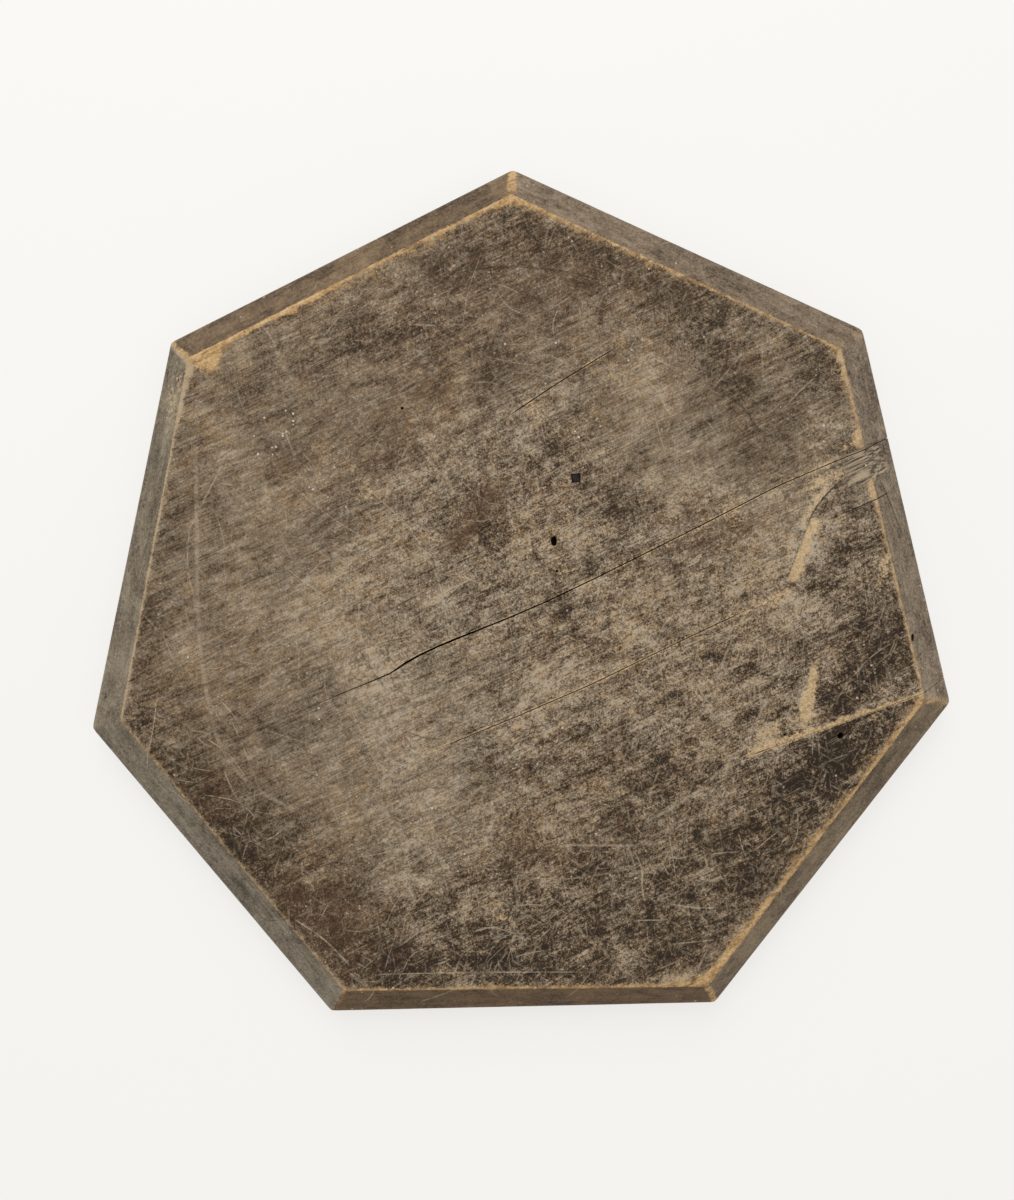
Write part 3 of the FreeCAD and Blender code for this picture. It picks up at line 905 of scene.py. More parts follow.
class Web:
    """Adds and joins the nodes of one node tree."""

    def __init__(self, tree: bpy.types.NodeTree) -> None:
        """Args: tree is the node tree to fill."""
        self.tree = tree

    def add(self, kind: str, settings: dict | None = None, **inputs: object) -> bpy.types.Node:
        """Adds a node.

        Args:
            kind: the node's type without its ShaderNode prefix.
            settings: properties of the node.
            inputs: its sockets by name, with _ for a space, each a value or a socket to join.

        Returns:
            The node.
        """
        node = self.tree.nodes.new("ShaderNode" + kind)
        for name, value in (settings or {}).items():
            setattr(node, name, value)
        for name, value in inputs.items():
            self.feed(node.inputs[name.replace("_", " ")], value)
        return node

    def feed(self, socket: bpy.types.NodeSocket, value: object) -> None:
        """Joins a socket to another, or sets its value.

        Args:
            socket: The input to set.
            value: What is stepped.
        """
        if isinstance(value, bpy.types.NodeSocket):
            self.tree.links.new(value, socket)
        else:
            socket.default_value = value

    def math(self, operation: str, a: object, b: object = 0.0, clamp: bool = False) -> bpy.types.NodeSocket:
        """One Math node's result.

        Args:
            operation: Blender's name for the operation.
            a: First value.
            b: Second value.
            clamp: Whether to keep the result from 0 to 1.
        """
        node = self.add("Math", {"operation": operation, "use_clamp": clamp})
        self.feed(node.inputs[0], a)
        self.feed(node.inputs[1], b)
        return node.outputs[0]

    def total(self, base: object, *terms: tuple) -> bpy.types.NodeSocket:
        """base plus each (value, weight) pair, where a value varies about a half.

        Args:
            base: The value to start from.
        """
        result = base
        for value, weight in terms:
            node = self.add("Math", {"operation": "MULTIPLY_ADD"})
            self.feed(node.inputs[0], self.math("SUBTRACT", value, 0.5))
            self.feed(node.inputs[1], weight)
            self.feed(node.inputs[2], result)
            result = node.outputs[0]
        return result

    def smooth(self, value: object, low: float, high: float, to_low: float = 0.0,
               to_high: float = 1.0) -> bpy.types.NodeSocket:
        """A smooth step of value between two limits.

        Args:
            value: What is stepped.
            low: Value where the step begins.
            high: Value where the step ends.
            to_low: Result below the step.
            to_high: Result above the step.
        """
        node = self.add("MapRange", {"interpolation_type": "SMOOTHSTEP"})
        for k, v in enumerate((value, low, high, to_low, to_high)):
            self.feed(node.inputs[k], v)
        return node.outputs[0]

    def mix(self, factor: object, a: object, b: object, blend: str = "MIX") -> bpy.types.NodeSocket:
        """A mix of two colours.

        Args:
            factor: Share of the second.
            a: First value.
            b: Second value.
            blend: Blender's name for the blend.
        """
        node = self.add("Mix", {"data_type": "RGBA", "blend_type": blend})
        self.feed(node.inputs[0], factor)
        self.feed(node.inputs[6], a)
        self.feed(node.inputs[7], b)
        return node.outputs[2]

    def noise(self, vector: object, scale: object, detail: float = 4.0, rough: float = 0.55,
              warp: float = 0.0) -> bpy.types.NodeSocket:
        """Fractal noise about a half.

        Args:
            vector: The place that is read.
            scale: Size of the pattern.
            detail: Number of layers.
            rough: Strength of the fine layers.
            warp: How far it is twisted.
        """
        node = self.add("TexNoise", None, Vector=vector, Scale=scale, Detail=detail, Roughness=rough,
                        Distortion=warp)
        return node.outputs[0]

    def turned(self, vector: object, degrees: float, scale: tuple,
               shift: tuple = (0, 0, 0)) -> bpy.types.NodeSocket:
        """The vector turned about Z and then stretched.

        Args:
            vector: The place that is read.
            degrees: The turn.
            scale: Size of the pattern.
            shift: A move added last.
        """
        turn = self.add("Mapping", None, Vector=vector, Rotation=(0, 0, radians(degrees)), Location=shift)
        return self.add("Mapping", None, Vector=turn.outputs[0], Scale=scale).outputs[0]

    def ramp(self, value: object, stops: tuple) -> bpy.types.NodeSocket:
        """A colour ramp through (place, colour) stops.

        Args:
            value: What is stepped.
            stops: Pairs of place and colour.
        """
        node = self.add("ValToRGB")
        self.feed(node.inputs[0], value)
        marks = node.color_ramp.elements
        while len(marks) < len(stops):
            marks.new(0.5)
        for mark, (place, colour) in zip(marks, stops):
            mark.position = place
        for mark, (place, colour) in zip(marks, stops):
            mark.color = (*colour, 1)
        return node.outputs[0]

    def attribute(self, name: str) -> bpy.types.Node:
        """The node that reads one of the mesh's attributes.

        Args:
            name: Its name.
        """
        return self.add("Attribute", {"attribute_name": name})

    def group(self, tree: bpy.types.NodeTree, **inputs: object) -> bpy.types.Node:
        """Places a node group with its own values.

        Args:
            tree: The node group.
        """
        return self.add("Group", {"node_tree": tree}, **inputs)


def new_group(name: str, inputs: tuple, outputs: tuple) -> tuple:
    """Starts a node group.

    Args:
        name: the group's name.
        inputs: (name, kind, default) of each input, kind being Float or Vector.
        outputs: names of its outputs, all floats.

    Returns:
        The tree, a Web on it, the inputs by name and the output node.
    """
    tree = bpy.data.node_groups.new(name, "ShaderNodeTree")
    for title, kind, value in inputs:
        socket = tree.interface.new_socket(title, in_out="INPUT", socket_type="NodeSocket" + kind)
        if value is not None:
            socket.default_value = value
    for title in outputs:
        tree.interface.new_socket(title, in_out="OUTPUT", socket_type="NodeSocketFloat")
    web = Web(tree)
    start, end = tree.nodes.new("NodeGroupInput"), tree.nodes.new("NodeGroupOutput")
    return tree, web, start.outputs, end


class Effects:
    """The shared effects, each a node group that several finishes place with their own values."""

    def __init__(self) -> None:
        """Builds every group once."""
        self.fibre = self._fibre()
        self.mottle = self._mottle()
        self.ragged = self._ragged()
        self.line = self._line()
        self.scuffs = self._scuffs()
        self.specks = self._specks()

    @staticmethod
    def _fibre() -> bpy.types.NodeTree:
        """Fine fibres along X of the vector, and the slower bands of growth rings."""
        tree, web, start, end = new_group("Timber Fibre",
                                          (("Vector", "Vector", None), ("Fineness", "Float", 900.0)),
                                          ("Fibre", "Rings"))
        long = web.turned(start["Vector"], 0, (0.035, 1.0, 1.0))
        web.feed(end.inputs["Fibre"], web.noise(long, start["Fineness"], 4, 0.6))
        bend = web.noise(start["Vector"], 5.0, 2, 0.5)
        ring = web.add("VectorMath", {"operation": "ADD"})
        web.feed(ring.inputs[0], web.turned(start["Vector"], 0, (0.10, 1.0, 1.0)))
        shift = web.add("CombineXYZ", None, Y=web.math("MULTIPLY", bend, 0.10))
        web.feed(ring.inputs[1], shift.outputs[0])
        web.feed(end.inputs["Rings"], web.noise(ring.outputs[0], 150.0, 3, 0.6))
        return tree

    @staticmethod
    def _mottle() -> bpy.types.NodeTree:
        """Blotches of grime with ragged edges, from broad to fine, and its crumbled crust."""
        tree, web, start, end = new_group("Grime Mottle",
                                          (("Vector", "Vector", None), ("Size", "Float", 60.0)),
                                          ("Broad", "Blotch", "Grit", "Crumb"))
        size = start["Size"]
        web.feed(end.inputs["Broad"],
                 web.noise(start["Vector"], web.math("MULTIPLY", size, 0.22), 4, 0.6, 0.6))
        web.feed(end.inputs["Blotch"], web.noise(start["Vector"], size, 6, 0.66, 0.9))
        grit = 0.5
        for angle, shift, share in ((-24.0, 0.0, 0.60), (35.0, 3.1, 0.45), (-75.0, 5.7, 0.40),
                                    (80.0, 8.3, 0.35)):
            thin = web.turned(start["Vector"], angle, (0.45, 1.0, 1.0), (shift, shift, 0.0))
            grit = web.total(grit, (web.noise(thin, web.math("MULTIPLY", size, 10.5), 2, 0.8, 0.3), share))
        web.feed(end.inputs["Grit"], grit)
        worm = web.noise(start["Vector"], web.math("MULTIPLY", size, 3.2), 2, 0.6, 1.4)
        ridge = web.math("ABSOLUTE", web.math("SUBTRACT", worm, 0.5))
        web.feed(end.inputs["Crumb"], web.smooth(ridge, 0.10, 0.0))
        return tree

    @staticmethod
    def _ragged() -> bpy.types.NodeTree:
        """Breaks up the edge of a mask."""
        inputs = (("Mask", "Float", 0.0), ("Vector", "Vector", None), ("Size", "Float", 300.0),
                  ("Amount", "Float", 0.8))
        tree, web, start, end = new_group("Ragged Edge", inputs, ("Mask",))
        grain = web.noise(start["Vector"], start["Size"], 6, 0.8, 0.5)
        push = web.math("MULTIPLY", web.math("SUBTRACT", grain, 0.5),
                        web.math("MULTIPLY", start["Amount"], 2.0))
        raised = web.math("ADD", start["Mask"], push)
        web.feed(end.inputs["Mask"],
                 web.math("MULTIPLY", web.smooth(raised, 0.30, 0.62), web.smooth(start["Mask"], 0.0, 0.12)))
        return tree

    @staticmethod
    def _line() -> bpy.types.NodeTree:
        """A scored line, from its place (X across it in half widths, Y strength)."""
        tree, web, start, end = new_group("Scored Line",
                                          (("Place", "Vector", None), ("Vector", "Vector", None),
                                           ("Gaps", "Float", 1.0)), ("Mask",))
        parts = web.add("SeparateXYZ", None, Vector=start["Place"])
        wobble = web.noise(start["Vector"], 260.0, 3, 0.6)
        across = web.math("ABSOLUTE", web.total(parts.outputs[0], (wobble, 1.1)))
        gaps = web.smooth(web.noise(start["Vector"], 420.0, 4, 0.7), 0.34, 0.56, 0.25, 1.0)
        gaps = web.math("MULTIPLY", gaps,
                        web.smooth(web.noise(start["Vector"], 45.0, 3, 0.7), 0.38, 0.55, 0.30, 1.0))
        gaps = web.math("SUBTRACT", 1.0, web.math("MULTIPLY", web.math("SUBTRACT", 1.0, gaps), start["Gaps"]))
        line = web.smooth(across, 1.15, 0.35)
        web.feed(end.inputs["Mask"], web.math("MULTIPLY", web.math("MULTIPLY", line, gaps), parts.outputs[1]))
        return tree

    @staticmethod
    def _scuffs() -> bpy.types.NodeTree:
        """Crowds of short fine scratches in several directions."""
        tree, web, start, end = new_group("Fine Scuffs",
                                          (("Vector", "Vector", None), ("Fineness", "Float", 420.0)),
                                          ("Mask",))
        result = 0.0
        for k, angle in enumerate((-24.0, 31.0, -68.0, 82.0)):
            thin = web.turned(start["Vector"], angle, (0.11, 1.0, 1.0), (0.37 * k, 0.21 * k, 0.11 * k))
            streak = web.smooth(web.noise(thin, start["Fineness"], 1, 0.5, 0.3), 0.60, 0.72)
            where = web.smooth(web.noise(web.turned(start["Vector"], angle, (1, 1, 1), (k, 2 * k, 0)), 40.0,
                                         4, 0.7), 0.44, 0.62)
            result = web.math("MAXIMUM", result, web.math("MULTIPLY", streak, where))
        web.feed(end.inputs["Mask"], result)
        return tree

    @staticmethod
    def _specks() -> bpy.types.NodeTree:
        """Scattered small specks."""
        inputs = (("Vector", "Vector", None), ("Density", "Float", 240.0), ("Share", "Float", 0.9),
                  ("Size", "Float", 0.16))
        tree, web, start, end = new_group("Scattered Specks", inputs, ("Mask",))
        cells = web.add("TexVoronoi", None, Vector=start["Vector"], Scale=start["Density"])
        chance = web.add("SeparateColor", None, Color=cells.outputs["Color"])
        picked = web.math("GREATER_THAN", chance.outputs[0], start["Share"])
        size = web.math("MULTIPLY", start["Size"], web.math("ADD", chance.outputs[1], 0.4))
        dot = web.math("LESS_THAN", cells.outputs["Distance"], size)
        web.feed(end.inputs["Mask"], web.math("MULTIPLY", picked, dot))
        return tree


def new_material(name: str) -> tuple:
    """Starts a material. Returns it, a Web on its nodes and its Principled node.

    Args:
        name: Its name.
    """
    material = bpy.data.materials.new(name)
    material.use_nodes = True
    tree = material.node_tree
    tree.nodes.clear()
    web = Web(tree)
    shader = web.add("BsdfPrincipled")
    out = web.add("OutputMaterial")
    tree.links.new(shader.outputs[0], out.inputs[0])
    return material, web, shader


@dataclass(frozen=True)
class FaceFinish:
    """The dark, much handled surface of the face and bevels."""

    darkest: tuple = (0.016, 0.0088, 0.0035)
    dark: tuple = (0.066, 0.039, 0.0185)
    middle: tuple = (0.190, 0.139, 0.090)
    light: tuple = (0.300, 0.232, 0.158)
    palest: tuple = (0.53, 0.43, 0.31)
    bevel_dark: tuple = (0.055, 0.040, 0.027)
    bevel_middle: tuple = (0.200, 0.149, 0.101)
    bevel_light: tuple = (0.350, 0.280, 0.200)
    gold_dark: tuple = (0.22, 0.125, 0.055)
    gold: tuple = (0.56, 0.345, 0.145)
    gold_pale: tuple = (0.78, 0.56, 0.31)
    tan: tuple = (0.52, 0.41, 0.28)
    rust: tuple = (0.100, 0.050, 0.022)
    dust: tuple = (0.72, 0.67, 0.58)

    def _wood(self, web: Web, effects: Effects, at: object, grain: object, mask: dict) -> tuple:
        """The timber under its grime."""
        fibre = web.group(effects.fibre, Vector=grain, Fineness=900.0)
        mottle = web.group(effects.mottle, Vector=at, Size=72.0)
        streaky = web.noise(web.turned(at, -24.0, (0.22, 1, 1)), 200.0, 5, 0.75, 0.4)
        crust = mask["crust"]
        value = web.total(web.smooth(crust, 0, 1.2, 0.565, 0.625), (mottle.outputs["Broad"], 0.75),
                          (mottle.outputs["Blotch"], web.smooth(crust, 0, 1.2, 0.75, 1.75)),
                          (mottle.outputs["Grit"], web.smooth(crust, 0, 1.2, 1.2, 2.6)),
                          (streaky, web.smooth(crust, 0, 1.2, 0.95, 1.35)),
                          (mottle.outputs["Crumb"], web.smooth(crust, 0, 1.2, 0.0, 0.08)),
                          (fibre.outputs["Fibre"], 0.75), (fibre.outputs["Rings"], 0.35))
        for scale, stretch, low, deep in ((24.0, 0.6, 0.50, 0.15), (58.0, 0.75, 0.535, 0.09),
                                          (130.0, 0.8, 0.55, 0.05)):
            island = web.smooth(web.noise(web.turned(at, -24.0, (stretch, 1, 1), (scale, 0, 0)), scale, 8,
                                          0.76, 0.5), low, low + 0.055)
            value = web.math("SUBTRACT", value,
                             web.math("MULTIPLY", island, web.smooth(crust, 0, 1.2, deep * 0.25, deep * 1.2)))
        ragged = web.noise(at, 230.0, 4, 0.75, 0.6)
        patch = web.math("MULTIPLY", mask["shade"], web.smooth(ragged, 0.36, 0.64, 0.36, 0.06))
        value = web.math("SUBTRACT", value, patch)
        colour = web.ramp(value,
                          ((0.05, self.darkest), (0.28, self.dark), (0.52, self.middle), (0.72, self.light),
                           (1.0, self.palest)))
        tint = web.total(0.5, (web.noise(at, 16.0, 3, 0.6), 0.7), (web.noise(at, 120.0, 4, 0.75), 1.5))
        colour = web.mix(1.0, colour,
                         web.ramp(tint,
                                  ((0.15, (0.90, 0.95, 1.0)), (0.5, (0.98, 0.96, 0.94)),
                                   (0.85, (1.0, 0.86, 0.68)))), "MULTIPLY")
        rust = web.group(effects.ragged, Mask=mask["rust"], Vector=at, Size=260.0, Amount=2.6)
        colour = web.mix(web.math("MULTIPLY", rust.outputs[0], 0.55), colour, (*self.rust, 1))
        relief = web.total(0.0, (fibre.outputs["Fibre"], 0.5), (mottle.outputs["Grit"], 0.6), (streaky, 0.5),
                           (mottle.outputs["Crumb"], 0.1))
        return colour, relief, mottle

    def _bevel(self, web: Web, effects: Effects, at: object) -> object:
        """The planed bevels, darker in the hollows of the plane marks and scored lengthwise."""
        place = web.attribute("bevel_place").outputs["Vector"]
        mottle = web.group(effects.mottle, Vector=at, Size=60.0)
        long = web.add("Mapping", None, Vector=place, Scale=(0.06, 1.0, 1.0)).outputs[0]
        slow = web.add("Mapping", None, Vector=place, Scale=(0.20, 1.0, 1.0)).outputs[0]
        value = web.total(0.52, (web.noise(long, 420.0, 4, 0.7), 0.55),
                          (web.noise(slow, 110.0, 5, 0.7, 0.5), 0.85),
                          (mottle.outputs["Broad"], 0.8), (mottle.outputs["Blotch"], 0.9),
                          (mottle.outputs["Grit"], 1.3))
        colour = web.ramp(value,
                          ((0.18, self.bevel_dark), (0.50, self.bevel_middle), (0.88, self.bevel_light)))
        # The bevel colour is multiplied by its side's factors: painted light and shade by side, with the sides'
        # own tone.
        return web.mix(1.0, colour, web.attribute("side_tone_and_shade").outputs["Color"], "MULTIPLY")

    def _gold(self, web: Web, grain: object, warmth: object) -> object:
        """Bare wood that rubbing has laid open."""
        tone = web.total(0.52, (web.noise(web.turned(grain, 0, (0.25, 1, 1)), 240.0, 4, 0.7), 1.6),
                         (web.noise(grain, 520.0, 3, 0.75), 1.3))
        gold = web.ramp(tone, ((0.18, self.gold_dark), (0.5, self.gold), (0.85, self.gold_pale)))
        return web.mix(warmth, (*self.tan, 1), gold)

    def make(self, effects: Effects) -> bpy.types.Material:
        """Builds the material.

        Args:
            effects: The shared finish groups.
        """
        material, web, shader = new_material("Aged Face Timber")
        whole = web.add("TexCoord").outputs["Object"]
        at = web.add("Mapping", None, Vector=whole, Scale=(1.0, 1.0, 0.4)).outputs[0]
        grain = web.turned(at, -24.0, (1, 1, 1))
        names = ("bare", "shade", "rust", "crack", "bevel", "pale", "splinter", "crust", "warmth", "dusty",
                 "halo")
        mask = {n: web.attribute(n).outputs["Fac"] for n in names}
        colour, relief, mottle = self._wood(web, effects, at, grain, mask)
        scuffs = web.group(effects.scuffs, Vector=at, Fineness=430.0).outputs[0]
        crust_at = mask["crust"]
        colour = web.mix(web.math("MULTIPLY", scuffs, web.smooth(crust_at, 0.0, 1.2, 0.16, 0.40)), colour,
                         (*self.palest, 1))
        colour = web.mix(mask["bevel"], colour, self._bevel(web, effects, at))
        lines = 0.0
        for name in ("strokes_a", "strokes_b", "scratch_a", "scratch_b", "scratch_c"):
            line = web.group(effects.line, Place=web.attribute(name).outputs["Vector"], Vector=at)
            lines = web.math("MAXIMUM", lines, line.outputs[0])
        colour = web.mix(web.math("MULTIPLY", lines, 0.80), colour, (*self.palest, 1))
        stains = 0.0
        for name in ("strokes_dark", "scratch_dark"):
            line = web.group(effects.line, Place=web.attribute(name).outputs["Vector"], Vector=at)
            stains = web.math("MAXIMUM", stains, line.outputs[0])
        colour = web.mix(web.math("MULTIPLY", stains, 0.80), colour, (*self.darkest, 1))
        rubbed = self._gold(web, grain, mask["warmth"])
        pale = web.group(effects.ragged, Mask=mask["pale"], Vector=at, Size=300.0, Amount=1.5).outputs[0]
        coarse = web.group(effects.ragged, Mask=mask["bare"], Vector=at, Size=150.0, Amount=1.9).outputs[0]
        fine = web.group(effects.ragged, Mask=mask["bare"], Vector=at, Size=620.0, Amount=1.8).outputs[0]
        bare = web.total(0.0, (coarse, 0.5), (fine, 0.5))
        bare = web.math("ADD", bare, 0.5, True)
        bare = web.math("MULTIPLY", bare, web.smooth(mask["splinter"], 0.05, 0.6, 1.0, 0.0))
        halo = web.group(effects.ragged, Mask=mask["halo"], Vector=at, Size=240.0, Amount=1.6).outputs[0]
        colour = web.mix(web.math("MULTIPLY", halo, 0.45), colour, rubbed)
        pale = web.math("MULTIPLY", pale, web.smooth(mottle.outputs["Grit"], 0.40, 0.58, 0.45, 0.95))
        colour = web.mix(pale, colour, web.mix(0.60, rubbed, (*self.gold_pale, 1)))
        strip = web.noise(web.turned(at, -24.0, (0.05, 1, 1)), 520.0, 3, 0.6)
        splinter = web.mix(web.smooth(strip, 0.40, 0.60), (*self.bevel_dark, 1), (*self.tan, 1))
        colour = web.mix(web.math("MULTIPLY", mask["splinter"], 0.8), colour, splinter)
        colour = web.mix(web.math("MULTIPLY", bare, 0.9), colour, rubbed)
        specks = web.group(effects.specks, Vector=at, Density=330.0, Share=0.88, Size=0.24).outputs[0]
        where = web.total(web.smooth(web.noise(at, 24.0, 4, 0.7), 0.50, 0.64, 0.06, 0.75),
                          (web.math("ADD", mask["dusty"], 0.5), 1.0))
        colour = web.mix(web.math("MULTIPLY", specks, where, True), colour, (*self.dust, 1))
        # The joints' and splits' painted shadows: near-black lines along their open parts, with the dirt in them.
        seam_shadow = web.group(effects.line, Place=web.attribute("seam_shadows").outputs["Vector"], Vector=at,
                         Gaps=0.25).outputs[0]
        colour = web.mix(seam_shadow, colour, (0.012, 0.0075, 0.004, 1))
        # Cracks, holes, the flake's lip and the joint walls are painted near black: painted shade in these
        # hollows.
        colour = web.mix(web.smooth(mask["crack"], 0.15, 0.85), colour, (0.006, 0.0045, 0.0035, 1))
        web.feed(shader.inputs["Base Color"], colour)
        web.feed(shader.inputs["Roughness"],
                 web.total(0.66, (mottle.outputs["Blotch"], 0.35), (mottle.outputs["Grit"], 0.2)))
        shader.inputs["Specular IOR Level"].default_value = 0.22
        relief = web.math("SUBTRACT", relief, web.math("MULTIPLY", lines, 0.5))
        relief = web.math("SUBTRACT", relief, web.math("MULTIPLY", scuffs, 0.25))
        bump = web.add("Bump", None, Strength=0.6, Distance=0.0008, Height=relief)
        web.feed(shader.inputs["Normal"], bump.outputs[0])
        return material


@dataclass(frozen=True)
class BareTimberFinish:
    """Unpolished, sawn timber that has darkened in the air."""

    name: str
    dark: tuple
    middle: tuple
    light: tuple
    turn: float = 0.0
    saw_marks: float = 0.5
    grime: float = 0.6

    def make(self, effects: Effects) -> bpy.types.Material:
        """Builds the material, its fibres lying at turn degrees from +X.

        Args:
            effects: The shared finish groups.
        """
        material, web, shader = new_material(self.name)
        at = web.add("TexCoord").outputs["Object"]
        grain = web.turned(at, -self.turn, (1, 1, 1))
        fibre = web.group(effects.fibre, Vector=grain, Fineness=700.0)
        mottle = web.group(effects.mottle, Vector=at, Size=45.0)
        streaky = web.noise(web.turned(at, -self.turn, (0.06, 1, 1)), 150.0, 5, 0.68, 0.08)
        value = web.total(0.50, (fibre.outputs["Rings"], 0.8), (fibre.outputs["Fibre"], 0.6), (streaky, 0.7),
                          (mottle.outputs["Broad"], 0.5), (mottle.outputs["Blotch"], 0.5))
        colour = web.ramp(value, ((0.18, self.dark), (0.50, self.middle), (0.85, self.light)))
        dirt = web.smooth(mottle.outputs["Blotch"], 0.52, 0.70)
        colour = web.mix(web.math("MULTIPLY", dirt, self.grime), colour, (*(c * 0.35 for c in self.dark), 1))
        scuffs = web.group(effects.scuffs, Vector=at, Fineness=260.0)
        colour = web.mix(web.math("MULTIPLY", scuffs.outputs[0], 0.35), colour, (*self.light, 1))
        saw = web.add("TexWave", {"wave_type": "RINGS", "rings_direction": "Z"},
                      Vector=web.turned(at, 12, (1, 1, 1), (0.55, 0.1, 0)),
                      Scale=62.0, Distortion=2.0, Detail=3.0)
        saw_line = web.smooth(saw.outputs["Fac"], 0.55, 0.95)
        colour = web.mix(web.math("MULTIPLY", saw_line, 0.22 * self.saw_marks), colour, (*self.dark, 1))
        bare = web.attribute("bare").outputs["Fac"]
        bare = web.group(effects.ragged, Mask=bare, Vector=at, Size=350.0, Amount=0.8).outputs[0]
        colour = web.mix(web.math("MULTIPLY", bare, 0.6), colour,
                         (*(min(c * 1.5, 0.8) for c in self.light), 1))
        web.feed(shader.inputs["Base Color"], colour)
        web.feed(shader.inputs["Roughness"], web.total(0.78, (streaky, 0.3)))
        shader.inputs["Specular IOR Level"].default_value = 0.25
        relief = web.total(0.0, (fibre.outputs["Fibre"], 0.6), (streaky, 0.6),
                           (saw_line, 0.6 * self.saw_marks))
        web.feed(shader.inputs["Normal"],
                 web.add("Bump", None, Strength=0.6, Distance=0.0007, Height=relief).outputs[0])
        return material


@dataclass(frozen=True)
class MetalFinish:
    """Old iron or steel with rust in its hollows."""

    name: str
    metal: tuple
    rust: tuple
    rust_share: float
    roughness: float

    def make(self, effects: Effects) -> bpy.types.Material:
        """Builds the material.

        Args:
            effects: The shared finish groups.
        """
        material, web, shader = new_material(self.name)
        at = web.add("TexCoord").outputs["Object"]
        mottle = web.group(effects.mottle, Vector=at, Size=500.0)
        rust = web.smooth(mottle.outputs["Blotch"], 0.62 - 0.3 * self.rust_share,
                          0.74 - 0.3 * self.rust_share)
        shade = web.total(0.5, (mottle.outputs["Grit"], 0.9), (mottle.outputs["Broad"], 0.6))
        metal = web.ramp(shade,
                         ((0.2, tuple(c * 0.55 for c in self.metal)),
                          (0.8, tuple(min(c * 1.35, 1) for c in self.metal))))
        brown = web.ramp(shade, ((0.25, tuple(c * 0.5 for c in self.rust)), (0.8, self.rust)))
        web.feed(shader.inputs["Base Color"], web.mix(rust, metal, brown))
        web.feed(shader.inputs["Metallic"], web.smooth(rust, 0.0, 1.0, 0.9, 0.0))
        web.feed(shader.inputs["Roughness"], web.smooth(rust, 0.0, 1.0, self.roughness, 0.85))
        relief = web.total(0.0, (mottle.outputs["Grit"], 0.6), (mottle.outputs["Blotch"], 0.8))
        web.feed(shader.inputs["Normal"],
                 web.add("Bump", None, Strength=0.5, Distance=0.0003, Height=relief).outputs[0])
        return material


class Finishes:
    """All the finishes, built once."""

    def __init__(self) -> None:
        """Builds the effects and each material."""
        effects = Effects()
        self.face = FaceFinish().make(effects)
        self.back = BareTimberFinish("Aged Back Timber", (0.060, 0.040, 0.025), (0.150, 0.105, 0.068),
                                     (0.255, 0.190, 0.128), 24.0).make(effects)
        self.batten = BareTimberFinish("Batten Timber", (0.085, 0.052, 0.028), (0.205, 0.135, 0.078),
                                       (0.340, 0.240, 0.145), 114.0, 0.8).make(effects)
        self.dowel = BareTimberFinish("Dowel Timber", (0.22, 0.14, 0.07), (0.42, 0.29, 0.16),
                                      (0.58, 0.44, 0.27), 114.0, 0.0, 0.2).make(effects)
        self.steel = MetalFinish("Dull Steel", (0.23, 0.21, 0.19), (0.16, 0.075, 0.035), 0.45,
                                 0.42).make(effects)
        self.iron = MetalFinish("Black Iron", (0.022, 0.020, 0.019), (0.030, 0.019, 0.013), 0.7,
                                0.75).make(effects)


# ---------------------------------------------------------------- the pieces


def dress(obj: bpy.types.Object, slot: str, *materials: bpy.types.Material) -> None:
    """Gives a finished piece its materials and body.

    Args:
        obj: The piece.
        slot: The material slot of the part; not used.
    """
    obj.data.materials.clear()
    for material in materials:
        obj.data.materials.append(material)
    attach(obj, "root")


def write_mask(mesh: bpy.types.Mesh, name: str, values: np.ndarray) -> None:
    """Stores one value, or one row of three, at each vertex.

    Args:
        mesh: The mesh to read or change.
        name: Its name.
        values: One row a vertex.
    """
    if values.ndim == 1:
        mesh.attributes.new(name, "FLOAT", "POINT").data.foreach_set("value", values.astype(np.float32))
    else:
        mesh.attributes.new(name, "FLOAT_VECTOR", "POINT").data.foreach_set("vector",
                                                                            values.astype(np.float32).reshape(-1))


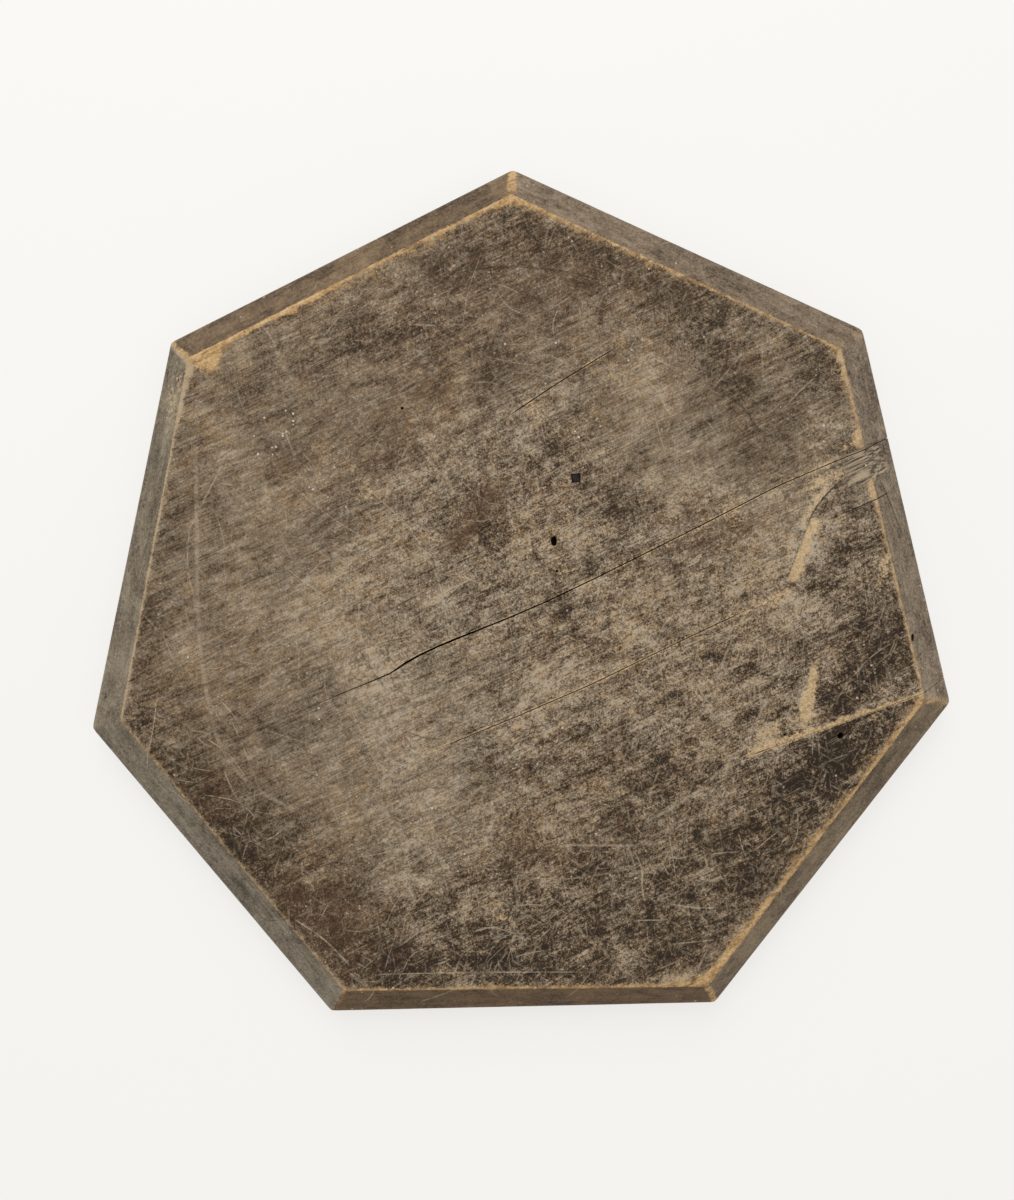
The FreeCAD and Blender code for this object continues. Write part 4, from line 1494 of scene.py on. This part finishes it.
@dataclass
class Plank:
    """One plank of the board: a fine grid laid along the grain, trimmed to the outline and worn."""

    name: str
    below: Split | float
    above: Split | float
    start: float
    stop: float
    splits: tuple = ()
    cell_along: float = 0.0020
    cell_across: float = 0.0012
    joint_gap: float = 0.0001

    def _edge(self, edge: Split | float, u: np.ndarray) -> np.ndarray:
        """The plank's boundary across the grain."""
        return edge.across(u) if isinstance(edge, Split) else np.full_like(u, edge)

    def _half_gap(self, edge: Split | float, u: np.ndarray) -> np.ndarray:
        """How far the plank's top edge stands back from a joint."""
        return np.maximum(edge.width(u), self.joint_gap) if isinstance(edge, Split) else np.zeros_like(u)

    def _lay_grid(self) -> bpy.types.Object:
        """A grid whose rows follow the joints and splits. Each row on a split is remembered in the mesh."""
        reach = self._edge(self.above, np.zeros(1))[0] - self._edge(self.below, np.zeros(1))[0]
        columns, rows = int((self.stop - self.start) / self.cell_along), int(reach / self.cell_across)
        bpy.ops.object.select_all(action="DESELECT")
        bpy.ops.mesh.primitive_grid_add(x_subdivisions=columns, y_subdivisions=rows, size=1)
        obj = bpy.context.object
        co = read_points(obj.data)
        s, t = co[:, 0] + 0.5, co[:, 1] + 0.5
        u = self.start + s * (self.stop - self.start)
        low = self._edge(self.below, u) + self._half_gap(self.below, u)
        high = self._edge(self.above, u) - self._half_gap(self.above, u)
        row = np.rint(t * rows).astype(int)
        v = low + t * (high - low)
        depth = np.zeros_like(u)
        for split in self.splits:
            middle = (split.opening[0][0] + split.opening[-1][0]) / 2
            at = np.interp(middle, [self.start, self.stop], [0, 1])
            near = np.abs(s - at) < 0.6 / columns
            r = row[near][np.argmin(np.abs(v[near] - split.across(np.array([middle]))[0]))]
            base = low + (r / rows) * (high - low)
            shift = split.across(u) - base
            v = v + shift * fade(np.abs(row - r) * self.cell_across, 0.030, 0.002)
            open_share = np.clip(split.depth(u) / 0.0008, 0, 1)
            step = np.abs(row - r) == 1
            tight = split.across(u) + np.sign(row - r) * np.maximum(split.width(u), 0.00015)
            v = np.where(step, v + (tight - v) * open_share, v)
            depth = np.where(row == r, split.depth(u), depth)
        co[:, 0], co[:, 1] = from_grain(u, v)
        co[:, 2] = -depth
        write_points(obj.data, co)
        return obj

    def _cut(self, obj: bpy.types.Object, normal: np.ndarray, offset: float, clear: bool) -> None:
        """Cuts the mesh along an upright plane, and clears what is outside it if asked."""
        co = read_points(obj.data)[:, :2] @ normal - offset
        if co.max() < 1e-6 or co.min() > -1e-6:
            return
        bpy.ops.object.mode_set(mode="EDIT")
        bpy.ops.mesh.select_all(action="SELECT")
        bpy.ops.mesh.bisect(plane_co=(*(normal * offset), 0), plane_no=(*normal, 0), clear_outer=clear,
                            threshold=1e-6)
        bpy.ops.object.mode_set(mode="OBJECT")

    def _trim(self, obj: bpy.types.Object) -> None:
        """Cuts the grid to the outline, and lays edges along the arrises."""
        normal, offset = OUTLINE.lines(OUTLINE.corners())
        for k in range(7):
            self._cut(obj, normal[k], offset[k], True)
        normal, offset = OUTLINE.lines(OUTLINE.face_corners())
        for k in range(7):
            self._cut(obj, normal[k], offset[k], False)

    def _refine_holes(self, obj: bpy.types.Object) -> None:
        """Divides the faces round each hole more finely."""
        spots = [(x, y, max(rx, ry) + 0.0025) for x, y, rx, ry,
                 _ in TOP_WEAR.holes] + [(*TOP_WEAR.nail, 0.0062)]
        mesh = obj.data
        middle = np.zeros(len(mesh.polygons) * 3)
        mesh.polygons.foreach_get("center", middle)
        middle = middle.reshape(-1, 3)
        picked = np.zeros(len(middle), bool)
        for x, y, r in spots:
            picked |= np.hypot(middle[:, 0] - x, middle[:, 1] - y) < r
        if not picked.any():
            return
        bpy.ops.object.mode_set(mode="EDIT")
        bpy.ops.mesh.select_mode(type="FACE")
        bpy.ops.mesh.select_all(action="DESELECT")
        bpy.ops.object.mode_set(mode="OBJECT")
        mesh.polygons.foreach_set("select", picked)
        bpy.ops.object.mode_set(mode="EDIT")
        bpy.ops.mesh.subdivide(number_cuts=3)
        bpy.ops.object.mode_set(mode="OBJECT")

    def _wear(self, obj: bpy.types.Object) -> None:
        """Moves every vertex of the top to its worn height."""
        co = read_points(obj.data)
        x, y = OUTLINE.round_corners(co[:, 0], co[:, 1])
        u, v = to_grain(x, y)
        crack = co[:, 2].copy()
        z = TOP_WEAR.height(x, y) + crack
        for edge, sign in ((self.below, 1), (self.above, -1)):
            if isinstance(edge, Split):
                away = (v - edge.across(u)) * sign
                worn = 0.0002 + 0.5 * np.clip(edge.width(u) - 0.0002, 0, 0.001)
                z -= worn * fade(away, 0.0022, 0.0) ** 2
        # Painted shade in the split grooves: the deeper a groove, the darker its colour.
        self.crack = np.clip(-crack / 0.0008, 0, 1)
        co = np.stack([x, y, TOP + z], 1)
        write_points(obj.data, co)

    def _sides(self, obj: bpy.types.Object) -> None:
        """Draws the rim down to the back, a ring at a time, and closes the back."""
        rings = ((0.004, 0.0), (0.009, 0.0), (None, 0.0), (None, 0.0009))
        bpy.ops.object.mode_set(mode="EDIT")
        bpy.ops.mesh.select_mode(type="EDGE")
        bpy.ops.mesh.select_all(action="DESELECT")
        bpy.ops.mesh.select_non_manifold(extend=False, use_wire=False, use_multi_face=False,
                                         use_non_contiguous=False, use_verts=False)
        tops = None
        for number, (deep, inset) in enumerate(rings):
            bpy.ops.mesh.extrude_edges_move(TRANSFORM_OT_translate={"value": (0, 0, 0)})
            mesh = bmesh.from_edit_mesh(obj.data)
            verts = [v for v in mesh.verts if v.select]
            p = np.array([v.co for v in verts])
            x, y, z = p.T
            u, v = to_grain(x, y)
            if tops is None:
                tops = z
            new_v = v.copy()
            for edge, sign in ((self.below, 1), (self.above, -1)):
                if isinstance(edge, Split):
                    off = (v - edge.across(u)) * sign
                    joint = np.abs(off) < 0.0016
                    shut = edge.across(u) + sign * (self.joint_gap + inset)
                    new_v = np.where(joint & ((number > 0) | (tops < TOP - 0.006)), shut, new_v)
            x, y = from_grain(u, new_v)
            if inset:
                ring_in = OUTLINE.inside(x, y)
                n, _ = OUTLINE.lines(OUTLINE.corners())
                for k in range(7):
                    push = np.clip(inset + 0.0004 - ring_in[:, k], 0, inset)
                    x, y = x - n[k, 0] * push, y - n[k, 1] * push
            floor = BOTTOM + (0.0 if number == len(rings) - 1 else 0.0009)
            z = np.full_like(z, floor) if deep is None else np.maximum(z - (deep if number == 0 else 0.005),
                                                                       floor + 0.0006 * (3 - number))
            for vert, spot in zip(verts, np.stack([x, y, z], 1)):
                vert.co = spot
            bmesh.update_edit_mesh(obj.data)
        bpy.ops.mesh.edge_face_add()
        bpy.ops.mesh.select_all(action="SELECT")
        bpy.ops.mesh.normals_make_consistent(inside=False)
        bpy.ops.object.mode_set(mode="OBJECT")

    def _write_masks(self, obj: bpy.types.Object) -> None:
        """Stores the masks and lines of the face at the vertices."""
        co = read_points(obj.data)
        x, y, z = co.T
        upper = z > BOTTOM + 0.004
        masks = TOP_WEAR.masks(x, y)
        crack = np.zeros(len(x))
        crack[: len(self.crack)] = self.crack
        # The joint walls are painted darker the deeper they lie below the top: painted shade between the planks.
        below_top = TOP_WEAR.height(x, y) + TOP - z
        masks["crack"] = np.maximum(masks["crack"] * upper,
                                    np.maximum(crack, fade(below_top, 0.0006, 0.0025) * self._by_joint(x, y)))
        for name, values in masks.items():
            kept = values if values.ndim > 1 or name in ("crack", "bevel", "warmth",
                                                         "crust") else values * upper
            write_mask(obj.data, name, kept)
        strokes = list(STROKES)
        for number, field in enumerate(SCRATCH_FIELDS):
            strokes += field.strokes(100 + number)
        # A painted shadow line along the open part of each joint and split.
        for split, width in ((self.below, 0.0010), (self.above, 0.0011), *((s, 0.0013) for s in self.splits)):
            if isinstance(split, Split):
                strokes.append(split.shadow(width))
        layers = ("strokes_a", "strokes_b", "strokes_dark", "scratch_a", "scratch_b", "scratch_c",
                  "scratch_dark", "seam_shadows")
        for layer, name in enumerate(layers):
            place = np.zeros((len(x), 3))
            place[:, 0] = 9.0
            for stroke in strokes:
                if stroke.layer != layer:
                    continue
                pts = np.array(stroke.points)
                near = ((x > pts[:, 0].min() - 0.008) & (x < pts[:, 0].max() + 0.008)
                        & (y > pts[:, 1].min() - 0.008) & (y < pts[:, 1].max() + 0.008) & upper)
                if not near.any():
                    continue
                side, share, length = nearest_on(stroke.points, x[near], y[near])
                taper = fade(np.minimum(share, 1 - share) * length, 0.0, 0.008)
                weight = stroke.strength * taper * fade(np.abs(side), 0.0065, 0.0045)
                old = place[near]
                better = weight > old[:, 1]
                old[better, 0] = side[better] / (stroke.width / 2)
                old[better, 1] = weight[better]
                place[near] = old
            write_mask(obj.data, name, place)

    def _by_joint(self, x: np.ndarray, y: np.ndarray) -> np.ndarray:
        """1 at points on a joint's wall."""
        u, v = to_grain(x, y)
        found = np.zeros_like(x)
        for edge in (self.below, self.above):
            if isinstance(edge, Split):
                found = np.maximum(found, (np.abs(v - edge.across(u)) < 0.0016) * 1.0)
        return found

    def build(self, finishes: Finishes) -> bpy.types.Object:
        """Makes the plank. Returns the finished object.

        Args:
            finishes: The materials to choose from.
        """
        obj = self._lay_grid()
        obj.name = self.name + "_worn"
        alone(obj)
        self._trim(obj)
        self._refine_holes(obj)
        self._wear(obj)
        self._sides(obj)
        self._write_masks(obj)
        dress(obj, "aged_face_wood", finishes.face, finishes.back)
        normal = np.zeros(len(obj.data.polygons) * 3)
        obj.data.polygons.foreach_get("normal", normal)
        obj.data.polygons.foreach_set("material_index", (normal.reshape(-1, 3)[:, 2] < -0.3).astype(int))
        alone(obj)
        bpy.ops.object.shade_smooth_by_angle(angle=radians(38))
        obj.data.transform(Matrix.Translation((*MIDDLE, 0)))
        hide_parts(self.name)
        return obj


@dataclass
class Batten:
    """A sawn batten across the grain behind the planks, with chamfered ends and countersunk screw holes."""

    name: str
    side: int
    spacing: float = 0.3388
    length: float = 0.5197
    width: float = 0.062
    high: float = 0.020
    end_chamfer: float = 0.008
    screw_share: tuple = (-0.45, -0.24, -0.08, 0.09, 0.27, 0.44)
    head: float = 0.0046
    shank: float = 0.00235
    head_high: float = 0.0039

    def build(self, finishes: Finishes) -> bpy.types.Object:
        """Makes the batten. Returns the finished object.

        Args:
            finishes: The materials to choose from.
        """
        bpy.ops.object.select_all(action="DESELECT")
        bpy.ops.mesh.primitive_cube_add(size=1, location=(0, 0, self.high / 2),
                                        scale=(self.width, self.length, self.high))
        obj = bpy.context.object
        obj.name = self.name + "_sawn"
        bpy.context.view_layer.update()
        settle(obj)
        bpy.ops.object.mode_set(mode="EDIT")
        bpy.ops.mesh.select_mode(type="EDGE")
        bpy.ops.mesh.select_all(action="DESELECT")
        mesh = bmesh.from_edit_mesh(obj.data)
        for edge in mesh.edges:
            a, b = edge.verts[0].co, edge.verts[1].co
            if max(a.z, b.z) < 1e-5 and abs(a.y - b.y) < 1e-5:
                edge.select = True
        bmesh.update_edit_mesh(obj.data)
        bpy.ops.mesh.bevel(offset=self.end_chamfer, segments=1)
        bpy.ops.object.mode_set(mode="OBJECT")
        apply_modifier(obj, "BEVEL", width=0.0012, segments=2, limit_method="ANGLE", angle_limit=radians(30))
        cutters = []
        for share in self.screw_share:
            bpy.ops.mesh.primitive_cone_add(vertices=28, radius1=self.head + 0.0006, radius2=self.shank,
                                            depth=self.head_high + 0.0006,
                                            location=(0, share * self.length, (self.head_high - 0.0006) / 2))
            cutters.append(bpy.context.object)
        alone(cutters[0])
        for cutter in cutters:
            cutter.select_set(True)
        bpy.ops.object.join()
        cutter = bpy.context.object
        bpy.context.view_layer.update()
        settle(cutter)
        apply_modifier(obj, "BOOLEAN", operation="DIFFERENCE", object=cutter, solver="EXACT")
        bpy.data.objects.remove(cutter)
        self._divide(obj)
        co = read_points(obj.data)
        edge = np.minimum(self.width / 2 - np.abs(co[:, 0]), self.length / 2 - np.abs(co[:, 1]))
        rough = Field(61 + self.side, 0.030, 3, 0.6)(co[:, 0] + 5, co[:, 1] + co[:, 2])
        co[:, 0] -= np.sign(co[:, 0]) * 0.0006 * np.clip(rough + 0.4, 0, 1) * (edge < 0.004)
        low = co[:, 2] < self.high / 2
        dent = np.clip(Field(63 + self.side, 0.020, 3, 0.6)(co[:, 0], co[:, 1]) - 0.25, 0, 1)
        co[:, 2] += low * 0.0012 * dent * (np.abs(co[:, 0]) > 0.008)
        write_points(obj.data, co)
        write_mask(obj.data, "bare", fade(edge, 0.0030, 0.0004) * 0.8)
        turn = Matrix.Rotation(GRAIN_ANGLE, 4, "Z")
        obj.data.transform(Matrix.Translation((*MIDDLE,
                                               0)) @ turn @ Matrix.Translation((self.side * self.spacing / 2,
                                                                                0, 0)))
        dress(obj, "batten_wood", finishes.batten)
        alone(obj)
        bpy.ops.object.shade_smooth_by_angle(angle=radians(35))
        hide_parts(self.name)
        return obj

    def _divide(self, obj: bpy.types.Object) -> None:
        """Cuts the batten across every few millimetres, so that its faces can be dented."""
        alone(obj)
        for axis, reach, step in ((1, self.length, 0.006), (0, self.width, 0.006)):
            for at in np.arange(-reach / 2 + step, reach / 2 - step / 2, step):
                normal = [0, 0, 0]
                normal[axis] = 1
                place = [0, 0, 0]
                place[axis] = at
                bpy.ops.object.mode_set(mode="EDIT")
                bpy.ops.mesh.select_all(action="SELECT")
                bpy.ops.mesh.bisect(plane_co=place, plane_no=normal, threshold=1e-6)
                bpy.ops.object.mode_set(mode="OBJECT")


@dataclass
class OldNail:
    """The head and shank of a square cut nail, sunk and battered into the face."""

    name: str = "old_nail"
    head: float = 0.0062
    thick: float = 0.0016
    shank: float = 0.0034
    length: float = 0.0296
    sunk: float = 0.0009

    def build(self, finishes: Finishes) -> bpy.types.Object:
        """Makes the nail. Returns the finished object.

        Args:
            finishes: The materials to choose from.
        """
        bpy.ops.object.select_all(action="DESELECT")
        bpy.ops.mesh.primitive_cube_add(size=1, location=(0, 0, -self.thick / 2),
                                        scale=(self.head, self.head, self.thick))
        obj = bpy.context.object
        obj.name = self.name + "_head"
        bpy.context.view_layer.update()
        settle(obj)
        bpy.ops.object.mode_set(mode="EDIT")
        bpy.ops.mesh.select_mode(type="FACE")
        bpy.ops.mesh.select_all(action="DESELECT")
        mesh = bmesh.from_edit_mesh(obj.data)
        mesh.faces.ensure_lookup_table()
        for face in mesh.faces:
            face.select = face.normal.z < -0.5
        bmesh.update_edit_mesh(obj.data)
        bpy.ops.mesh.inset(thickness=(self.head - self.shank) / 2)
        bpy.ops.mesh.extrude_region_move(TRANSFORM_OT_translate={"value": (0, 0,
                                                                           -(self.length - self.thick))})
        bpy.ops.transform.resize(value=(0.5, 0.5, 1))
        bpy.ops.object.mode_set(mode="OBJECT")
        apply_modifier(obj, "BEVEL", width=0.0005, segments=2, limit_method="ANGLE", angle_limit=radians(40))
        apply_modifier(obj, "SUBSURF", subdivision_type="SIMPLE", levels=4, render_levels=4)
        co = read_points(obj.data)
        dented = Field(71, 0.0025, 3, 0.6)(co[:, 0] + 1, co[:, 1] + co[:, 2])
        head = co[:, 2] > -self.thick - 0.0003
        co[:, 2] -= (co[:, 2] > -0.0005) * np.clip(0.0005 * (dented + 0.5), 0, 0.001)
        co[:, :2] *= np.where(head, 1 + 0.10 * Field(72, 0.003, 2)(co[:, 0], co[:, 1]) - 0.06, 1)[:, None]
        write_points(obj.data, co)
        obj.data.transform(Matrix.Translation((TOP_WEAR.nail[0] + MIDDLE[0], TOP_WEAR.nail[1] + MIDDLE[1],
                                               TOP - self.sunk)))
        dress(obj, "black_iron", finishes.iron)
        alone(obj)
        bpy.ops.object.shade_smooth_by_angle(angle=radians(35))
        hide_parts(self.name)
        return obj


class Metalwork(Enum):
    """The CAD nodes that stay as they are; dress_fixings picks the finish of each."""

    SCREWS_LEFT = "screws_left"
    SCREWS_RIGHT = "screws_right"
    DOWELS_UPPER = "dowels_upper_joint"
    DOWELS_LOWER = "dowels_lower_joint"


def dress_fixings(finishes: Finishes) -> None:
    """Gives the screws and dowels, which keep their CAD shape, their finishes.

    Args:
        finishes: The materials to choose from.
    """
    for kept in Metalwork:
        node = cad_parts[kept.value]
        finish = finishes.steel if "screws" in kept.value else finishes.dowel
        for slot in node.material_slots:
            slot.material = finish
        if not node.material_slots:
            node.data.materials.append(finish)


# ---------------------------------------------------------------- the studio


@dataclass
class Studio:
    """A pale floor, soft lamps and the camera over the board."""

    camera_at: tuple = (-0.0164, 0.02955, 0.88112)
    camera_aim: tuple = (-0.01165, -0.00255, 0.056)
    camera_roll: float = 1.05
    lens: float = 29.31
    sky: float = 0.50
    key_power: float = 30.0
    floor_colour: tuple = (0.93, 0.925, 0.905)
    backdrop: tuple = (1.0, 0.985, 0.955)
    paper_glow: float = 0.70

    def build(self) -> None:
        """Makes the floor, the lamps, the world and the camera."""
        self._floor()
        self._world()
        self._key()
        self._camera()
        bpy.context.scene.view_settings.view_transform = "Standard"

    @staticmethod
    def _background_ray(web: Web) -> bpy.types.NodeSocket:
        """One where a ray sees the background directly, in a reflection or through glass, else zero."""
        path = web.add("LightPath")
        seen = web.math("ADD", path.outputs["Is Camera Ray"], path.outputs["Is Glossy Ray"], True)
        return web.math("ADD", seen, path.outputs["Is Transmission Ray"], True)

    def _floor(self) -> None:
        """A wide sheet of pale paper."""
        bpy.ops.object.select_all(action="DESELECT")
        bpy.ops.mesh.primitive_grid_add(x_subdivisions=60, y_subdivisions=60, size=12)
        floor = bpy.context.object
        floor.name = "floor"
        floor.data.transform(Matrix.Translation((0, 0, -0.0003)))
        material, web, shader = new_material("Pale Paper")
        at = web.add("TexCoord").outputs["Object"]
        cloud = web.noise(at, 1.4, 3, 0.5)
        colour = web.ramp(cloud,
                          ((0.3, tuple(c * 0.985 for c in self.floor_colour)), (0.7, self.floor_colour)))
        web.feed(shader.inputs["Base Color"], colour)
        shader.inputs["Roughness"].default_value = 0.9
        shader.inputs["Specular IOR Level"].default_value = 0.1
        white = web.add("Emission", None, Color=(*self.backdrop, 1), Strength=1.0)
        share = web.math("MULTIPLY", self._background_ray(web), self.paper_glow)
        paper = web.add("MixShader", None, Fac=share)
        web.tree.links.new(shader.outputs[0], paper.inputs[1])
        web.tree.links.new(white.outputs[0], paper.inputs[2])
        web.tree.links.new(paper.outputs[0], web.tree.nodes["Material Output"].inputs[0])
        floor.data.materials.append(material)

    def _world(self) -> None:
        """An even pale sky for light, with the paper's own colour where it is seen."""
        world = bpy.data.worlds.new("Soft Room")
        bpy.context.scene.world = world
        world.use_nodes = True
        back = world.node_tree.nodes["Background"]
        back.inputs["Color"].default_value = (1.0, 0.995, 0.985, 1)
        back.inputs["Strength"].default_value = self.sky
        web = Web(world.node_tree)
        pale = web.add("Background", None, Color=(*self.backdrop, 1), Strength=1.0)
        room = web.add("MixShader", None, Fac=self._background_ray(web))
        web.tree.links.new(back.outputs[0], room.inputs[1])
        web.tree.links.new(pale.outputs[0], room.inputs[2])
        web.tree.links.new(room.outputs[0], web.tree.nodes["World Output"].inputs[0])

    def _key(self) -> None:
        """A large soft lamp beyond the top of the board."""
        for name, place, size, power in (("key", (-0.25, 1.7, 2.0), 1.6, self.key_power),
                                         ("fill", (0.9, -0.5, 2.4), 1.6, self.key_power * 0.12)):
            data = bpy.data.lights.new(name, "AREA")
            data.size = size
            data.energy = power
            data.color = (1.0, 0.985, 0.96)
            lamp = bpy.data.objects.new(name, data)
            bpy.context.scene.collection.objects.link(lamp)
            lamp.location = place
            lamp.rotation_euler = (-Vector(place)).to_track_quat("-Z", "Y").to_euler()

    def _camera(self) -> None:
        """The camera, almost straight above the face."""
        data = bpy.data.cameras.new("camera")
        data.lens = self.lens
        data.sensor_width = 36.0
        data.clip_start = 0.01
        camera = bpy.data.objects.new("camera", data)
        bpy.context.scene.collection.objects.link(camera)
        camera.location = self.camera_at
        back = (Vector(self.camera_at) - Vector(self.camera_aim)).normalized()
        right = Vector((sin(radians(self.camera_roll)), cos(radians(self.camera_roll)),
                        0)).cross(back).normalized()
        camera.rotation_mode = "QUATERNION"
        camera.rotation_quaternion = Matrix((right, back.cross(right), back)).transposed().to_quaternion()
        bpy.context.scene.camera = camera


def main() -> None:
    """Builds the board and its setting in order."""
    logging.basicConfig(level=logging.INFO, format="%(message)s")
    finishes = Finishes()
    pieces = (
        Plank("plank_upper", UPPER_JOINT, 0.360, -0.386, 0.386, UPPER_SPLITS),
        Plank("plank_middle", LOWER_JOINT, UPPER_JOINT, -0.386, 0.372, MIDDLE_SPLITS),
        Plank("plank_lower", -0.388, LOWER_JOINT, -0.345, 0.330),
        Batten("batten_left", -1),
        Batten("batten_right", 1),
        OldNail(),
    )
    for piece in pieces:
        obj = piece.build(finishes)
        LOG.info("%s: %d faces", obj.name, len(obj.data.polygons))
    dress_fixings(finishes)
    Studio().build()


if __name__ == "__main__":
    main()
